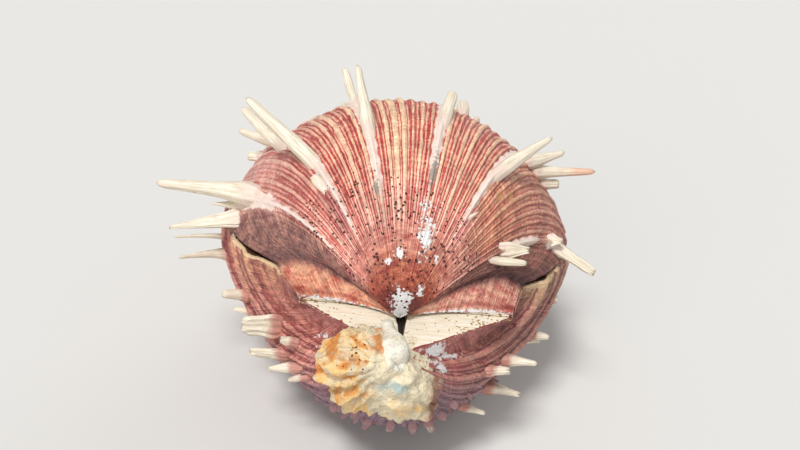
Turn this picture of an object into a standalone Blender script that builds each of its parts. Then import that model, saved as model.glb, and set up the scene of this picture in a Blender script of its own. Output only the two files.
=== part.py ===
"""Spiny oyster shell, closed and resting on its deeper lower valve. Metres, Z up.

Four pieces: two hollow valves that meet all round at the commissure, the dried ligament in
the pit of their hinge, and the lump of reef crust still cemented under the lower beak.
Each valve is a growth spiral. Its edge at every age is the same outline, scaled down and
turned about the hinge line, so ribs are lines of one place on the outline and growth lines
are lines of one turn. The hinge line lies along X and the far margin points to +Y.
"""

import math
from dataclasses import dataclass

import bmesh
import bpy
from mathutils import Matrix, Vector

MM = 0.001

# Outline of the commissure, in millimetres from the middle of the hinge line
HALF_WIDTH = 50.0
LENGTH = 94.7
BELLY_Y = 42.8
ROUNDNESS = 2.05
HINGE_LEFT = 25.4
HINGE_RIGHT = 29.1
NOTCH_X = 33.4
NOTCH_Y = 15.1
EAR_START = 0.86
NOTCH_START = 0.70
# How much narrower the outline is than an oval, beside the ears and all down its right side
WAIST = 0.038
WAIST_PLACE = 0.72
WAIST_REACH = 0.10
LOPSIDED = 0.012
LOPSIDED_REACH = 0.4

# Turns that the slump of the upper valve's far side is centred on and fades over
SLUMP_TURN = 28.0
SLUMP_REACH = 14.0

# Commissure, walls and base
COMMISSURE_GAP = 0.4
FIT_GAP = 0.3
# The crust's bed is the valve moved out by FIT_GAP times these, along its normal and up
BED_LIFT = (1.5, 1.0)
HOLLOW_SCALE = 0.88
HOLLOW_CENTRE_Y = 47.0
FLOOR_DEPTH = 48.6

# The middle of the hinge line stands here, over the middle of the whole shell's box
HINGE_SEAT = (6.2, -39.3, FLOOR_DEPTH)

# Mesh
GROWTH_ROWS = 12
# Steps in place and turn that the surface's directions are measured over
PLACE_STEP = 0.004
TURN_STEP = 0.5
HOLLOW_COLUMNS = 26
HOLLOW_ROWS = 9
TUBE_SIDES = 8
CRUST_FINENESS = 3

# Ribs: place of each strong rib along the outline, and how many riblets lie between
UPPER_RIBS = (-0.627, -0.408, -0.171, 0.103, 0.372, 0.679)
UPPER_RIBLETS = (6, 5, 6, 7, 7, 8, 4)
LOWER_RIBS = (-0.64, -0.50, -0.33, -0.12, 0.10, 0.33, 0.50, 0.65)
LOWER_RIBLETS = (2, 1, 2, 2, 2, 2, 2, 1, 2)
RIB_HEIGHT = 1.3
RIBLET_HEIGHT = 0.55
# The fold along each ear, as its place and height
EAR_FOLD = (0.93, 0.3)
# Points of the beak closer than this are one point
WELD = 0.25

# Ligament pit in the cardinal area of the lower valve
PIT_X = 0.7
PIT_MOUTH_Y = -1.0
PIT_TIP_Y = -11.3
PIT_HALF_WIDTH = 1.5
PIT_DEPTH = 2.2
PIT_TIP_SCALE = 0.15
LIGAMENT_SINK = 0.5
LIGAMENT_SIDE_GAP = 0.45
LIGAMENT_SHORT = 1.8
LIGAMENT_TIP_SCALE = 0.2

# Reef crust on the lower beak: centre, half depth, and its outline as angle and reach
CRUST_CENTRE = (-4.0, -15.5, -9.5)
CRUST_HALF_DEPTH = 8.2
CRUST_OUTLINE = (
    (0, 13.0),
    (30, 11.0),
    (60, 11.0),
    (90, 11.5),
    (125, 13.5),
    (150, 16.0),
    (172, 16.5),
    (195, 13.5),
    (215, 12.5),
    (240, 14.0),
    (265, 12.0),
    (290, 15.0),
    (312, 19.5),
    (335, 16.0),
)
CRUST_LUMP = 0.9
# Lumps over the crust: waves across X and Z, and a phase
CRUST_WAVES = ((7.0, 3.0, 0.0), (-4.0, 9.0, 1.0))
# Under 1 these square off the lump, seen from the front and from the side
CRUST_FULLNESS = 0.6
CRUST_BLUNTNESS = 0.75
CRUST_SLOPE = 0.25
TUBE_PATH = ((-2.6, -8.3, 0.4), (-1.0, -13.0, 1.2), (0.6, -18.0, 1.4), (2.0, -22.6, -3.0))
TUBE_RADIUS = 2.1
TUBE_END = 0.7


@dataclass(frozen=True)
class Spine:
    """A spine or scale: where it stands, how far it leans to the margin, and its size."""

    place: float
    turn: float
    length: float
    lean: float
    side: float
    width: float
    tip: float
    flatness: float


UPPER_SPINES = (
    Spine(-0.169, 44.2, 17.0, 39, 6, 3.5, 0.55, 0.9),
    Spine(-0.164, 25.0, 13.5, 30, 3, 2.4, 0.9, 0.9),
    Spine(-0.193, 25.0, 3.0, 59, 7, 1.8, 0.8, 0.9),
    Spine(0.110, 40.0, 11.0, 61, 2, 3.4, 0.85, 0.9),
    Spine(0.163, 27.0, 4.8, 36, -24, 3.4, 0.95, 0.9),
    Spine(0.204, 26.0, 2.6, 58, -5, 1.8, 0.8, 0.9),
    Spine(-0.445, 49.5, 3.2, 59, -2, 2.8, 0.85, 0.9),
    Spine(-0.409, 40.6, 23.8, 39, -4, 4.2, 0.62, 0.9),
    Spine(-0.431, 22.5, 17.5, 34, 9, 3.3, 0.78, 0.9),
    Spine(-0.369, 11.0, 12.6, 9, -28, 3.8, 0.6, 1),
    Spine(-0.412, 8.4, 5.2, 27, -30, 3.4, 0.85, 0.9),
    Spine(-0.610, 15.8, 26.0, 35, -10, 6.2, 0.43, 1),
    Spine(-0.630, 10.0, 8.5, 23, -11, 2, 0.35, 0.7),
    Spine(-0.667, 4.5, 18.2, 27, -12, 5.4, 0.3, 0.7),
    Spine(0.377, 40.5, 16.6, 35, 10, 3.9, 0.5, 0.9),
    Spine(0.409, 40.7, 2.6, 50, -2, 1.2, 0.5, 0.9),
    Spine(0.392, 61.1, 2.8, 36, 16, 1.2, 0.3, 0.9),
    Spine(0.393, 19.0, 12.2, 18, 19, 4.2, 0.5, 1),
    Spine(0.414, 15.0, 18.4, 9, 35, 4.4, 0.42, 1),
    Spine(0.450, 12.0, 5.4, 16, 23, 2.9, 0.9, 1),
    Spine(0.686, 47.7, 9.2, 50, 27, 2.2, 0.8, 1),
    Spine(0.679, 42.2, 6.5, 37, 11, 4.4, 0.45, 0.45),
    Spine(0.668, 13.6, 4.2, -9, 13, 3.4, 0.5, 0.5),
    Spine(0.678, 8.5, 13.2, 34, 32, 3.2, 0.8, 0.9),
    Spine(-0.171, 11.0, 8.0, 48, 0, 2.8, 0.62, 0.9),
    Spine(0.103, 12.0, 9.0, 45, 0, 2.8, 0.62, 0.9),
    Spine(-0.060, 7.0, 5.5, 38, 0, 2, 0.62, 0.9),
    Spine(0.210, 8.0, 6.0, 38, 0, 2, 0.62, 0.9),
    Spine(-0.290, 7.5, 4.5, 42, 0, 2, 0.62, 0.9),
    Spine(0.372, 6.0, 8.0, 42, 0, 2.6, 0.62, 0.9),
)

LOWER_SPINES = (
    Spine(-0.630, 13.3, 16.0, 0, -22, 3.2, 0.6, 0.8),
    Spine(-0.594, 9.0, 16.0, 1, -9, 1.7, 0.5, 0.8),
    Spine(-0.677, 29.4, 8.0, 3, -24, 3.4, 0.65, 1),
    Spine(-0.756, 45.9, 9.6, 25, 13, 5.4, 0.8, 0.5),
    Spine(-0.733, 58.3, 4.4, 17, -13, 2.8, 0.62, 0.9),
    Spine(-0.616, 58.0, 9.5, 25, -20, 3.2, 0.7, 0.8),
    Spine(-0.580, 65.6, 8.0, 27, -16, 3.2, 0.5, 0.9),
    Spine(-0.529, 69.9, 5.4, 1, -26, 2.4, 0.5, 0.9),
    Spine(0.647, 22.1, 3.4, 28, 11, 2.6, 0.8, 0.9),
    Spine(0.617, 36.6, 6.2, 20, 6, 3, 0.6, 0.9),
    Spine(0.664, 52.4, 9.6, 14, 15, 3.6, 0.45, 0.9),
    Spine(0.658, 62.5, 6.0, 27, 17, 3, 0.6, 0.9),
    Spine(0.497, 59.7, 10.0, 17, 24, 3.6, 0.45, 0.9),
    Spine(0.390, 69.4, 7.6, 19, 30, 2.8, 0.5, 0.9),
    Spine(-0.328, 79.0, 2.6, 30, 18, 2.4, 0.6, 0.9),
    Spine(-0.245, 87.0, 2.4, 30, 14, 2.2, 0.6, 0.9),
    Spine(-0.124, 84.0, 3.0, 30, -4, 2.4, 0.6, 0.9),
    Spine(0.018, 86.0, 2.6, 30, -12, 2.4, 0.6, 0.9),
    Spine(0.149, 81.0, 3.2, 30, -10, 2.4, 0.6, 0.9),
    Spine(0.230, 77.0, 4.0, 30, -4, 2.6, 0.6, 0.9),
    Spine(0.339, 80.0, 2.8, 30, -8, 2.4, 0.6, 0.9),
    Spine(0.453, 80.0, 2.6, 30, -20, 2.2, 0.6, 0.9),
    Spine(-0.330, 9.0, 11.0, 28, 0, 3, 0.5, 0.9),
    Spine(-0.120, 8.0, 9.0, 28, 0, 2.8, 0.5, 0.9),
    Spine(0.100, 9.0, 12.0, 28, 0, 3, 0.5, 0.9),
    Spine(0.330, 8.0, 10.0, 28, 0, 2.8, 0.5, 0.9),
    Spine(0.500, 12.0, 7.0, 20, -10, 2.6, 0.5, 0.9),
    Spine(-0.500, 36.0, 8.0, 30, -8, 3, 0.55, 0.9),
    Spine(0.500, 38.0, 8.0, 30, 8, 3, 0.55, 0.9),
    Spine(-0.220, 25.0, 7.0, 30, 0, 2.6, 0.55, 0.9),
    Spine(0.220, 26.0, 7.0, 30, 0, 2.6, 0.55, 0.9),
    Spine(-0.020, 21.0, 8.0, 30, 0, 2.8, 0.55, 0.9),
)

# The spines that the shell stands on, worn flat where they touch down
FOOT_SPINES = (
    Spine(-0.155, 57.0, 6.6, 8, 0, 4, 0.8, 0.9),
    Spine(0.160, 57.5, 6.8, 8, 0, 4, 0.8, 0.9),
    Spine(-0.177, 31.8, 12.0, 0, 0, 4.2, 0.75, 0.9),
    Spine(0.177, 31.8, 12.0, 0, 0, 4.2, 0.75, 0.9),
)

# A spine's rings, as a part of the way from its buried root to its tip
SPINE_RINGS = (0.30, 0.90)
SPINE_SIDES = 6
SPINE_ROOT = 2.4
SPINE_FLARE = 1.25
SPINE_END = 0.7

COLOURS = {
    "upper_valve": (0.60, 0.16, 0.12, 1.0),
    "lower_valve": (0.42, 0.15, 0.14, 1.0),
    "hinge_ligament": (0.03, 0.02, 0.015, 1.0),
    "attachment_crust": (0.72, 0.50, 0.24, 1.0),
}
ROUGHNESS = {"upper_valve": 0.5, "lower_valve": 0.6, "hinge_ligament": 0.7, "attachment_crust": 0.85}


def ease(value):
    """Smooth step from 0 to 1."""
    value = min(max(value, 0.0), 1.0)
    return value * value * (3 - 2 * value)


def hill(value, centre, reach):
    """Bell of height 1 about a centre."""
    return math.exp(-(((value - centre) / reach) ** 2))


def belly(turn):
    """Point of the round part of the outline, at an angle from +Y."""
    across, along = math.sin(turn), math.cos(turn)
    reach_y = LENGTH - BELLY_Y if along >= 0 else BELLY_Y
    total = abs(across / HALF_WIDTH) ** ROUNDNESS + abs(along / reach_y) ** ROUNDNESS
    radius = total ** (-1 / ROUNDNESS)
    return radius * across, BELLY_Y + radius * along


def outline(place):
    """Point of the commissure: place -1 and 1 are the hinge ends, 0 is the far margin."""
    reach = abs(place)
    side = 1 if place >= 0 else -1
    if reach > EAR_START:
        part = (reach - EAR_START) / (1 - EAR_START)
        hinge = HINGE_RIGHT if place > 0 else HINGE_LEFT
        return side * (NOTCH_X + (hinge - NOTCH_X) * part), NOTCH_Y * (1 - part)
    notch_turn = math.atan2(NOTCH_X, NOTCH_Y - BELLY_Y)
    x, y = belly(notch_turn * reach / EAR_START)
    corner_x, corner_y = belly(notch_turn)
    pull = ease((reach - NOTCH_START) / (EAR_START - NOTCH_START))
    slim = WAIST * hill(reach, WAIST_PLACE, WAIST_REACH)
    slim += LOPSIDED * side * ease(reach / LOPSIDED_REACH)
    x = x * (1 - slim * (1 - pull)) + (NOTCH_X - corner_x) * pull
    return side * x, y + (NOTCH_Y - corner_y) * pull


@dataclass(frozen=True)
class Valve:
    """The growth spiral of one valve. The shift of its beak makes the cardinal area."""

    side: int
    tightness: float
    last_turn: float
    beak_y: float
    beak_z: float
    shift_power: float
    slump: float = 0.0

    def size(self, turn):
        """Size of the edge at this turn, against 1 at the commissure."""
        angle, last = math.radians(turn), math.radians(self.last_turn)
        slumped = 1 - self.slump * hill(turn, SLUMP_TURN, SLUMP_REACH)
        return slumped * math.exp(-self.tightness * angle) * math.sin(last - angle) / math.sin(last)

    def point(self, place, turn, lift=0.0):
        """Point of the surface in millimetres, lifted along its normal."""
        x, y = outline(place)
        size, angle = self.size(turn), math.radians(turn)
        shift = (1 - size) ** self.shift_power
        spot = Vector((size * x, size * y * math.cos(angle), size * y * math.sin(angle)))
        spot.y -= shift * self.beak_y
        spot.z = self.side * (spot.z + COMMISSURE_GAP / 2) + shift * self.beak_z
        return spot + self.frame(place, turn)[3] * lift if lift else spot

    def frame(self, place, turn):
        """The point, and its directions to the margin, along the margin and outwards."""
        base = self.point(place, turn)
        place = min(max(place, PLACE_STEP - 1), 1 - PLACE_STEP)
        turn = min(max(turn, TURN_STEP), self.last_turn - 3 * TURN_STEP)
        younger = self.point(place, turn + TURN_STEP)
        growth = (self.point(place, turn - TURN_STEP) - younger).normalized()
        along = self.point(place + PLACE_STEP, turn) - self.point(place - PLACE_STEP, turn)
        along = (along - growth * along.dot(growth)).normalized()
        return base, growth, along, along.cross(growth) * self.side


UPPER = Valve(1, 0.82, 113.8, 5.2, 0.35, 3.0, slump=0.016)
LOWER = Valve(-1, 0.78, 131.0, 17.0, -2.1, 1.0)
# The hollow of the lower valve ends behind the hinge plate, so its beak isn't shifted.
LOWER_HOLLOW = Valve(-1, 0.78, 131.0, 0.0, 0.0, 1.0)


def rib_columns(ribs, riblets):
    """Places across a valve with the height of the relief there, groove and crest in turn."""
    stops = (-EAR_START, *ribs, EAR_START)
    fold, fold_height = EAR_FOLD
    columns = [(-1.0, 0.0), (-fold, fold_height), (-EAR_START, 0.0)]
    for i, count in enumerate(riblets):
        step = (stops[i + 1] - stops[i]) / (count + 1)
        for n in range(count + 1):
            crest = RIB_HEIGHT if n == count and i < len(ribs) else RIBLET_HEIGHT
            columns.append((stops[i] + step * (n + 0.5), 0.0))
            columns.append((stops[i] + step * (n + 1), crest))
    columns[-1] = (EAR_START, 0.0)
    return columns + [(fold, fold_height), (1.0, 0.0)]


def mesh_object(name, bm):
    """New object that holds the mesh."""
    mesh = bpy.data.meshes.new(name)
    bm.to_mesh(mesh)
    bm.free()
    return bpy.data.objects.new(name, mesh)


def growth_grid(name, valve, columns, rows, place_point):
    """Closed object: a grid laid on the growth spiral, welded at the beak and capped."""
    bm = bmesh.new()
    wide = len(columns) - 1
    bmesh.ops.create_grid(bm, x_segments=wide, y_segments=rows, size=1.0)
    for vert in bm.verts:
        column = columns[round((vert.co.x + 1) / 2 * wide)]
        turn = round((vert.co.y + 1) / 2 * rows) / rows * valve.last_turn
        vert.co = place_point(column, turn) * MM
    bmesh.ops.remove_doubles(bm, verts=bm.verts, dist=WELD * MM)
    bmesh.ops.holes_fill(bm, edges=[e for e in bm.edges if e.is_boundary], sides=0)
    bmesh.ops.recalc_face_normals(bm, faces=bm.faces)
    return mesh_object(name, bm)


def valve_body(name, valve, columns, clearance=0.0):
    """The ribbed outside of a valve, closed along the commissure and the hinge."""
    outwards, upwards = (part * clearance for part in BED_LIFT)

    def ribbed(column, turn):
        place, crest = column
        spot = valve.point(place, turn, crest * valve.size(turn) + outwards)
        spot.z += upwards
        return spot

    return growth_grid(name, valve, columns, GROWTH_ROWS, ribbed)


def hollow(name, valve):
    """The hollow of a valve: its own form at a smaller size, running past the commissure."""
    centre = Vector((0, HOLLOW_CENTRE_Y, 0))
    columns = [-1 + 2 * n / HOLLOW_COLUMNS for n in range(HOLLOW_COLUMNS + 1)]

    def smaller(place, turn):
        inner = centre + (valve.point(place, turn) - centre) * HOLLOW_SCALE
        inner.z -= valve.side * COMMISSURE_GAP
        return inner

    return growth_grid(name, valve, columns, HOLLOW_ROWS, smaller)


def ringed_prism(rings, sides):
    """Mesh of a prism from Z 0 to 1, of radius 1, with a ring of points at each height."""
    bm = bmesh.new()
    middle = Matrix.Translation((0, 0, 0.5))
    bmesh.ops.create_cone(
        bm, cap_ends=True, segments=sides, radius1=1, radius2=1, depth=1, matrix=middle
    )
    for height in rings:
        everything = bm.verts[:] + bm.edges[:] + bm.faces[:]
        bmesh.ops.bisect_plane(bm, geom=everything, plane_co=(0, 0, height), plane_no=(0, 0, 1))
    mesh = bpy.data.meshes.new("prism")
    bm.to_mesh(mesh)
    bm.free()
    return mesh


def spine_point(valve, spine, local):
    """Point of a spine, from its place in the unit prism."""
    base, growth, along, outward = valve.frame(spine.place, spine.turn)
    lean, side = math.radians(spine.lean), math.radians(spine.side)
    axis = (outward * math.cos(lean) + growth * math.sin(lean)) * math.cos(side)
    axis += along * math.sin(side)
    across = (along - axis * along.dot(axis)).normalized()
    height = local.z * (spine.length + SPINE_ROOT) - SPINE_ROOT
    grown = max(height / spine.length, 0.0)
    half = spine.width / 2 * (1 + (spine.tip - 1) * grown)
    half *= SPINE_FLARE if local.z == 0 else SPINE_END if local.z == 1 else 1.0
    offset = across * (local.x * half) + axis.cross(across) * (local.y * half * spine.flatness)
    return (base + axis * height + offset) * MM


def spine_cluster(name, valve, spines):
    """All the spines of a valve in one object, each of them a closed shape."""
    prism = ringed_prism(SPINE_RINGS, SPINE_SIDES)
    bm = bmesh.new()
    for spine in spines:
        first = len(bm.verts)
        bm.from_mesh(prism)
        bm.verts.ensure_lookup_table()
        for vert in bm.verts[first:]:
            vert.co = spine_point(valve, spine, vert.co.copy())
    bmesh.ops.recalc_face_normals(bm, faces=bm.faces)
    bpy.data.meshes.remove(prism)
    return mesh_object(name, bm)


def block(name, low, high, tip_scale=1.0):
    """Box between two corners in millimetres. Its -Y end is narrowed by tip_scale."""
    low, high = Vector(low), Vector(high)
    bm = bmesh.new()
    bmesh.ops.create_cube(bm, size=1.0)
    for vert in bm.verts:
        narrow = tip_scale if vert.co.y < 0 else 1.0
        part = Vector((vert.co.x * narrow, vert.co.y, vert.co.z))
        vert.co = ((low + high) / 2 + part * (high - low)) * MM
    return mesh_object(name, bm)


def cardinal_z(y):
    """Height of the cardinal area of the lower valve at y."""
    return LOWER.beak_z * -y / LOWER.beak_y - COMMISSURE_GAP / 2


def slanted(obj):
    """Slopes a box made at z 0 with the cardinal area."""
    for vert in obj.data.vertices:
        vert.co.z += cardinal_z(vert.co.y / MM) * MM
    return obj


def crust_reach(angle):
    """Reach of the crust from its centre, in degrees round from +X."""
    rows = list(CRUST_OUTLINE) + [(CRUST_OUTLINE[0][0] + 360, CRUST_OUTLINE[0][1])]
    for (before, near), (after, far) in zip(rows, rows[1:]):
        if before <= angle <= after:
            return near + (far - near) * ease((angle - before) / (after - before))
    return rows[0][1]


def crust_block(name):
    """The lump of crust before the valve is cut out of it."""
    bm = bmesh.new()
    bmesh.ops.create_icosphere(bm, subdivisions=CRUST_FINENESS, radius=1.0)
    centre = Vector(CRUST_CENTRE)
    for vert in bm.verts:
        x, y, z = vert.co
        flat = math.hypot(x, z)
        angle = math.degrees(math.atan2(z, x)) % 360
        reach = crust_reach(angle) * flat**CRUST_FULLNESS
        lump = CRUST_LUMP * sum(math.sin(a * x + b * z + c) for a, b, c in CRUST_WAVES)
        depth = math.copysign(abs(y) ** CRUST_BLUNTNESS, y) * CRUST_HALF_DEPTH
        depth += lump * abs(y) if y < 0 else 0.0
        side = Vector((reach * x, 0, reach * z)) / max(flat, 1e-6)
        back = CRUST_SLOPE * max(-side.z, 0.0)
        vert.co = (centre + side + Vector((0, depth + back, 0))) * MM
    return mesh_object(name, bm)


def worm_tube(name):
    """The smooth white tube that lies over the crust up to the hinge."""
    path = [Vector(p) for p in TUBE_PATH]
    last = len(path) - 1
    prism = ringed_prism([n / last for n in range(1, last)], TUBE_SIDES)
    bm = bmesh.new()
    bm.from_mesh(prism)
    for vert in bm.verts:
        n = round(vert.co.z * last)
        ahead = (path[min(n + 1, last)] - path[max(n - 1, 0)]).normalized()
        across = Vector((1, 0, 0)) - ahead * ahead.x
        across.normalize()
        radius = TUBE_RADIUS * (TUBE_END if n in (0, last) else 1.0)
        offset = across * vert.co.x + ahead.cross(across) * vert.co.y
        vert.co = (path[n] + offset * radius) * MM
    bmesh.ops.recalc_face_normals(bm, faces=bm.faces)
    bpy.data.meshes.remove(prism)
    return mesh_object(name, bm)


def boolean(obj, operation, cutter):
    """Adds a Boolean with the exact solver."""
    modifier = obj.modifiers.new(f"{operation.lower()} {cutter.name}", "BOOLEAN")
    modifier.operation = operation
    modifier.object = cutter
    modifier.solver = "EXACT"
    modifier.use_self = operation == "UNION"


def add_material(obj):
    """Gives a piece its own plain material."""
    material = bpy.data.materials.new(obj.name)
    material.use_nodes = True
    shader = material.node_tree.nodes["Principled BSDF"]
    shader.inputs["Base Color"].default_value = COLOURS[obj.name]
    shader.inputs["Roughness"].default_value = ROUGHNESS[obj.name]
    obj.data.materials.append(material)


def clear_scene():
    """Removes every object and collection that a new file holds."""
    for obj in list(bpy.data.objects):
        bpy.data.objects.remove(obj)
    for collection in list(bpy.data.collections):
        bpy.data.collections.remove(collection)


def new_collection(name):
    collection = bpy.data.collections.new(name)
    bpy.context.scene.collection.children.link(collection)
    return collection


def seat(obj, collection, origin):
    """Links an object and hangs it from the empty that stands the shell on its base."""
    collection.objects.link(obj)
    obj.parent = origin


def build_upper_valve(cutters):
    """The shallower valve, with its spines and its hollow."""
    valve = valve_body("upper_valve", UPPER, rib_columns(UPPER_RIBS, UPPER_RIBLETS))
    spines = spine_cluster("upper_spines", UPPER, UPPER_SPINES)
    inside = hollow("upper_hollow", UPPER)
    boolean(valve, "UNION", spines)
    boolean(valve, "DIFFERENCE", inside)
    cutters += [spines, inside]
    return valve


def build_lower_valve(cutters):
    """The deeper valve, with its spines, its hollow, the ligament pit and its worn feet."""
    valve = valve_body("lower_valve", LOWER, rib_columns(LOWER_RIBS, LOWER_RIBLETS))
    spines = spine_cluster("lower_spines", LOWER, LOWER_SPINES + FOOT_SPINES)
    inside = hollow("lower_hollow", LOWER_HOLLOW)
    pit_low = (PIT_X - PIT_HALF_WIDTH, PIT_TIP_Y, -PIT_DEPTH)
    pit_high = (PIT_X + PIT_HALF_WIDTH, PIT_MOUTH_Y, PIT_DEPTH)
    pit = slanted(block("ligament_pit", pit_low, pit_high, PIT_TIP_SCALE))
    table = 2 * LENGTH
    ground = block("ground", (-table, -table, -table), (table, table, -FLOOR_DEPTH))
    boolean(valve, "UNION", spines)
    for cutter in (inside, pit, ground):
        boolean(valve, "DIFFERENCE", cutter)
    cutters += [spines, inside, pit, ground]
    return valve


def build_ligament():
    """The dried ligament, a wedge in its pit."""
    half = PIT_HALF_WIDTH - LIGAMENT_SIDE_GAP
    low = (PIT_X - half, PIT_TIP_Y + LIGAMENT_SHORT, FIT_GAP - PIT_DEPTH)
    high = (PIT_X + half, PIT_MOUTH_Y - FIT_GAP, -LIGAMENT_SINK)
    return slanted(block("hinge_ligament", low, high, LIGAMENT_TIP_SCALE))


def build_crust(cutters):
    """The crust with the tube on it, cut to sit on the lower valve."""
    crust = crust_block("attachment_crust")
    tube = worm_tube("crust_tube")
    columns = rib_columns(LOWER_RIBS, LOWER_RIBLETS)
    bed = valve_body("crust_bed", LOWER, columns, clearance=FIT_GAP)
    boolean(crust, "UNION", tube)
    boolean(crust, "DIFFERENCE", bed)
    cutters += [tube, bed]
    return crust


def main():
    clear_scene()
    parts = new_collection("spiny_oyster_shell")
    helpers = new_collection("cutters")
    origin = bpy.data.objects.new("hinge_middle", None)
    origin.location = Vector(HINGE_SEAT) * MM
    parts.objects.link(origin)
    cutters = []
    pieces = [
        build_upper_valve(cutters),
        build_lower_valve(cutters),
        build_ligament(),
        build_crust(cutters),
    ]
    for piece in pieces:
        seat(piece, parts, origin)
        add_material(piece)
    for cutter in cutters:
        seat(cutter, helpers, origin)
        cutter.hide_render = True
        cutter.display_type = "WIRE"


main()
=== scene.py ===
"""Finishes the closed spiny oyster shell that rests on its deeper lower valve.

Each valve is modelled as it grew. Its edge at every age is one outline, made smaller and turned
about the hinge line, so a rib is one place on the outline and a growth line is one turn. Lengths
are in millimetres from the middle of the hinge line until a point is stored, with the hinge line
along X, the far margin at +Y and the upper valve at +Z.
"""

import logging
import math
from dataclasses import dataclass, replace
from enum import Enum

import bmesh
import bpy
import numpy as np
from mathutils import Matrix, Vector, noise
from mathutils.bvhtree import BVHTree


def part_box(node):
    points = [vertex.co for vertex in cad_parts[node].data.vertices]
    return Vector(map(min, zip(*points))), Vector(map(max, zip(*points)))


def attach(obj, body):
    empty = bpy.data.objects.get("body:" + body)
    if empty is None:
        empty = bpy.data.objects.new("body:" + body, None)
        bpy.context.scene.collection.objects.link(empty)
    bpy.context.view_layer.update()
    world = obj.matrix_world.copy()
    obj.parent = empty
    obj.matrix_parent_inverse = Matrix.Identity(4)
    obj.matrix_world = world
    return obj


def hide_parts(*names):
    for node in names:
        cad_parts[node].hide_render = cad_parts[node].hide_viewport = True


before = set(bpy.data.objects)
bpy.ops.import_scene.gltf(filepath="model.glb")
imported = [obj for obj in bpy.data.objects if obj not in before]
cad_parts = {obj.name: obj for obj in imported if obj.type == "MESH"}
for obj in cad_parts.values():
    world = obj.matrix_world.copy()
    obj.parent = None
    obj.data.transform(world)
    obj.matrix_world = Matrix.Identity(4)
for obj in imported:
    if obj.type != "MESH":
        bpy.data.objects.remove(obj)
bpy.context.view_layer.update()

LOG = logging.getLogger("spiny_oyster_shell")

MM = 0.001
# The middle of the hinge line stands here in the row frame, in millimetres
HINGE_SEAT = np.array((6.2, -39.3, 48.6))
COMMISSURE_GAP = 0.4
BODY = "root"


def ease(value: np.ndarray) -> np.ndarray:
    """Smooth step from 0 to 1."""
    value = np.clip(value, 0.0, 1.0)
    return value * value * (3 - 2 * value)


def hill(value: np.ndarray, centre: float, reach: float) -> np.ndarray:
    """Bell of height 1 about a centre."""
    return np.exp(-(((value - centre) / reach) ** 2))


def rough(points: np.ndarray, size: float, seed: float = 0.0) -> np.ndarray:
    """Smooth random value from about -1 to 1 at each point, with bumps of a size in mm."""
    shift = np.array((seed, 2.3 * seed, -1.7 * seed))
    return np.array([noise.noise(p) for p in points / size + shift])


def unit(vectors: np.ndarray) -> np.ndarray:
    """The same directions, one unit long."""
    return vectors / np.maximum(np.linalg.norm(vectors, axis=-1, keepdims=True), 1e-9)


def linear(colour: str) -> tuple[float, float, float, float]:
    """Turns an sRGB hex colour to linear RGBA.

    Args:
        colour: The colour, such as #e6d8bf.

    Returns:
        Linear red, green and blue, and an alpha of 1.
    """
    parts = [int(colour[i : i + 2], 16) / 255 for i in (1, 3, 5)]
    red, green, blue = (p / 12.92 if p <= 0.04045 else ((p + 0.055) / 1.055) ** 2.4 for p in parts)
    return red, green, blue, 1.0


def to_object(
    bm: bmesh.types.BMesh, name: str, materials: list[bpy.types.Material]
) -> bpy.types.Object:
    """Makes an object of a finished bmesh, and frees the bmesh.

    Args:
        bm: The bmesh.
        name: Name of the object.
        materials: Its material slots.

    Returns:
        The new object, linked to the scene.
    """
    mesh = bpy.data.meshes.new(name)
    bm.to_mesh(mesh)
    bm.free()
    for material in materials:
        mesh.materials.append(material)
    made = bpy.data.objects.new(name, mesh)
    bpy.context.scene.collection.objects.link(made)
    return made


def stand_for(made: bpy.types.Object, node: str) -> bpy.types.Object:
    """Lets a piece ride with the shell and stand for a node of the frame.

    Args:
        made: The piece.
        node: Name of the node.

    Returns:
        The same piece.
    """
    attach(made, BODY)
    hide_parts(node)
    LOG.info("%s: %d faces", made.name, len(made.data.polygons))
    return made


Socket = bpy.types.NodeSocket
# Settings of a node that mixes colours, and of one with a smooth rise
RGBA = {"out": 2, "data_type": "RGBA"}
SMOOTH = {"interpolation_type": "SMOOTHSTEP"}


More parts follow.
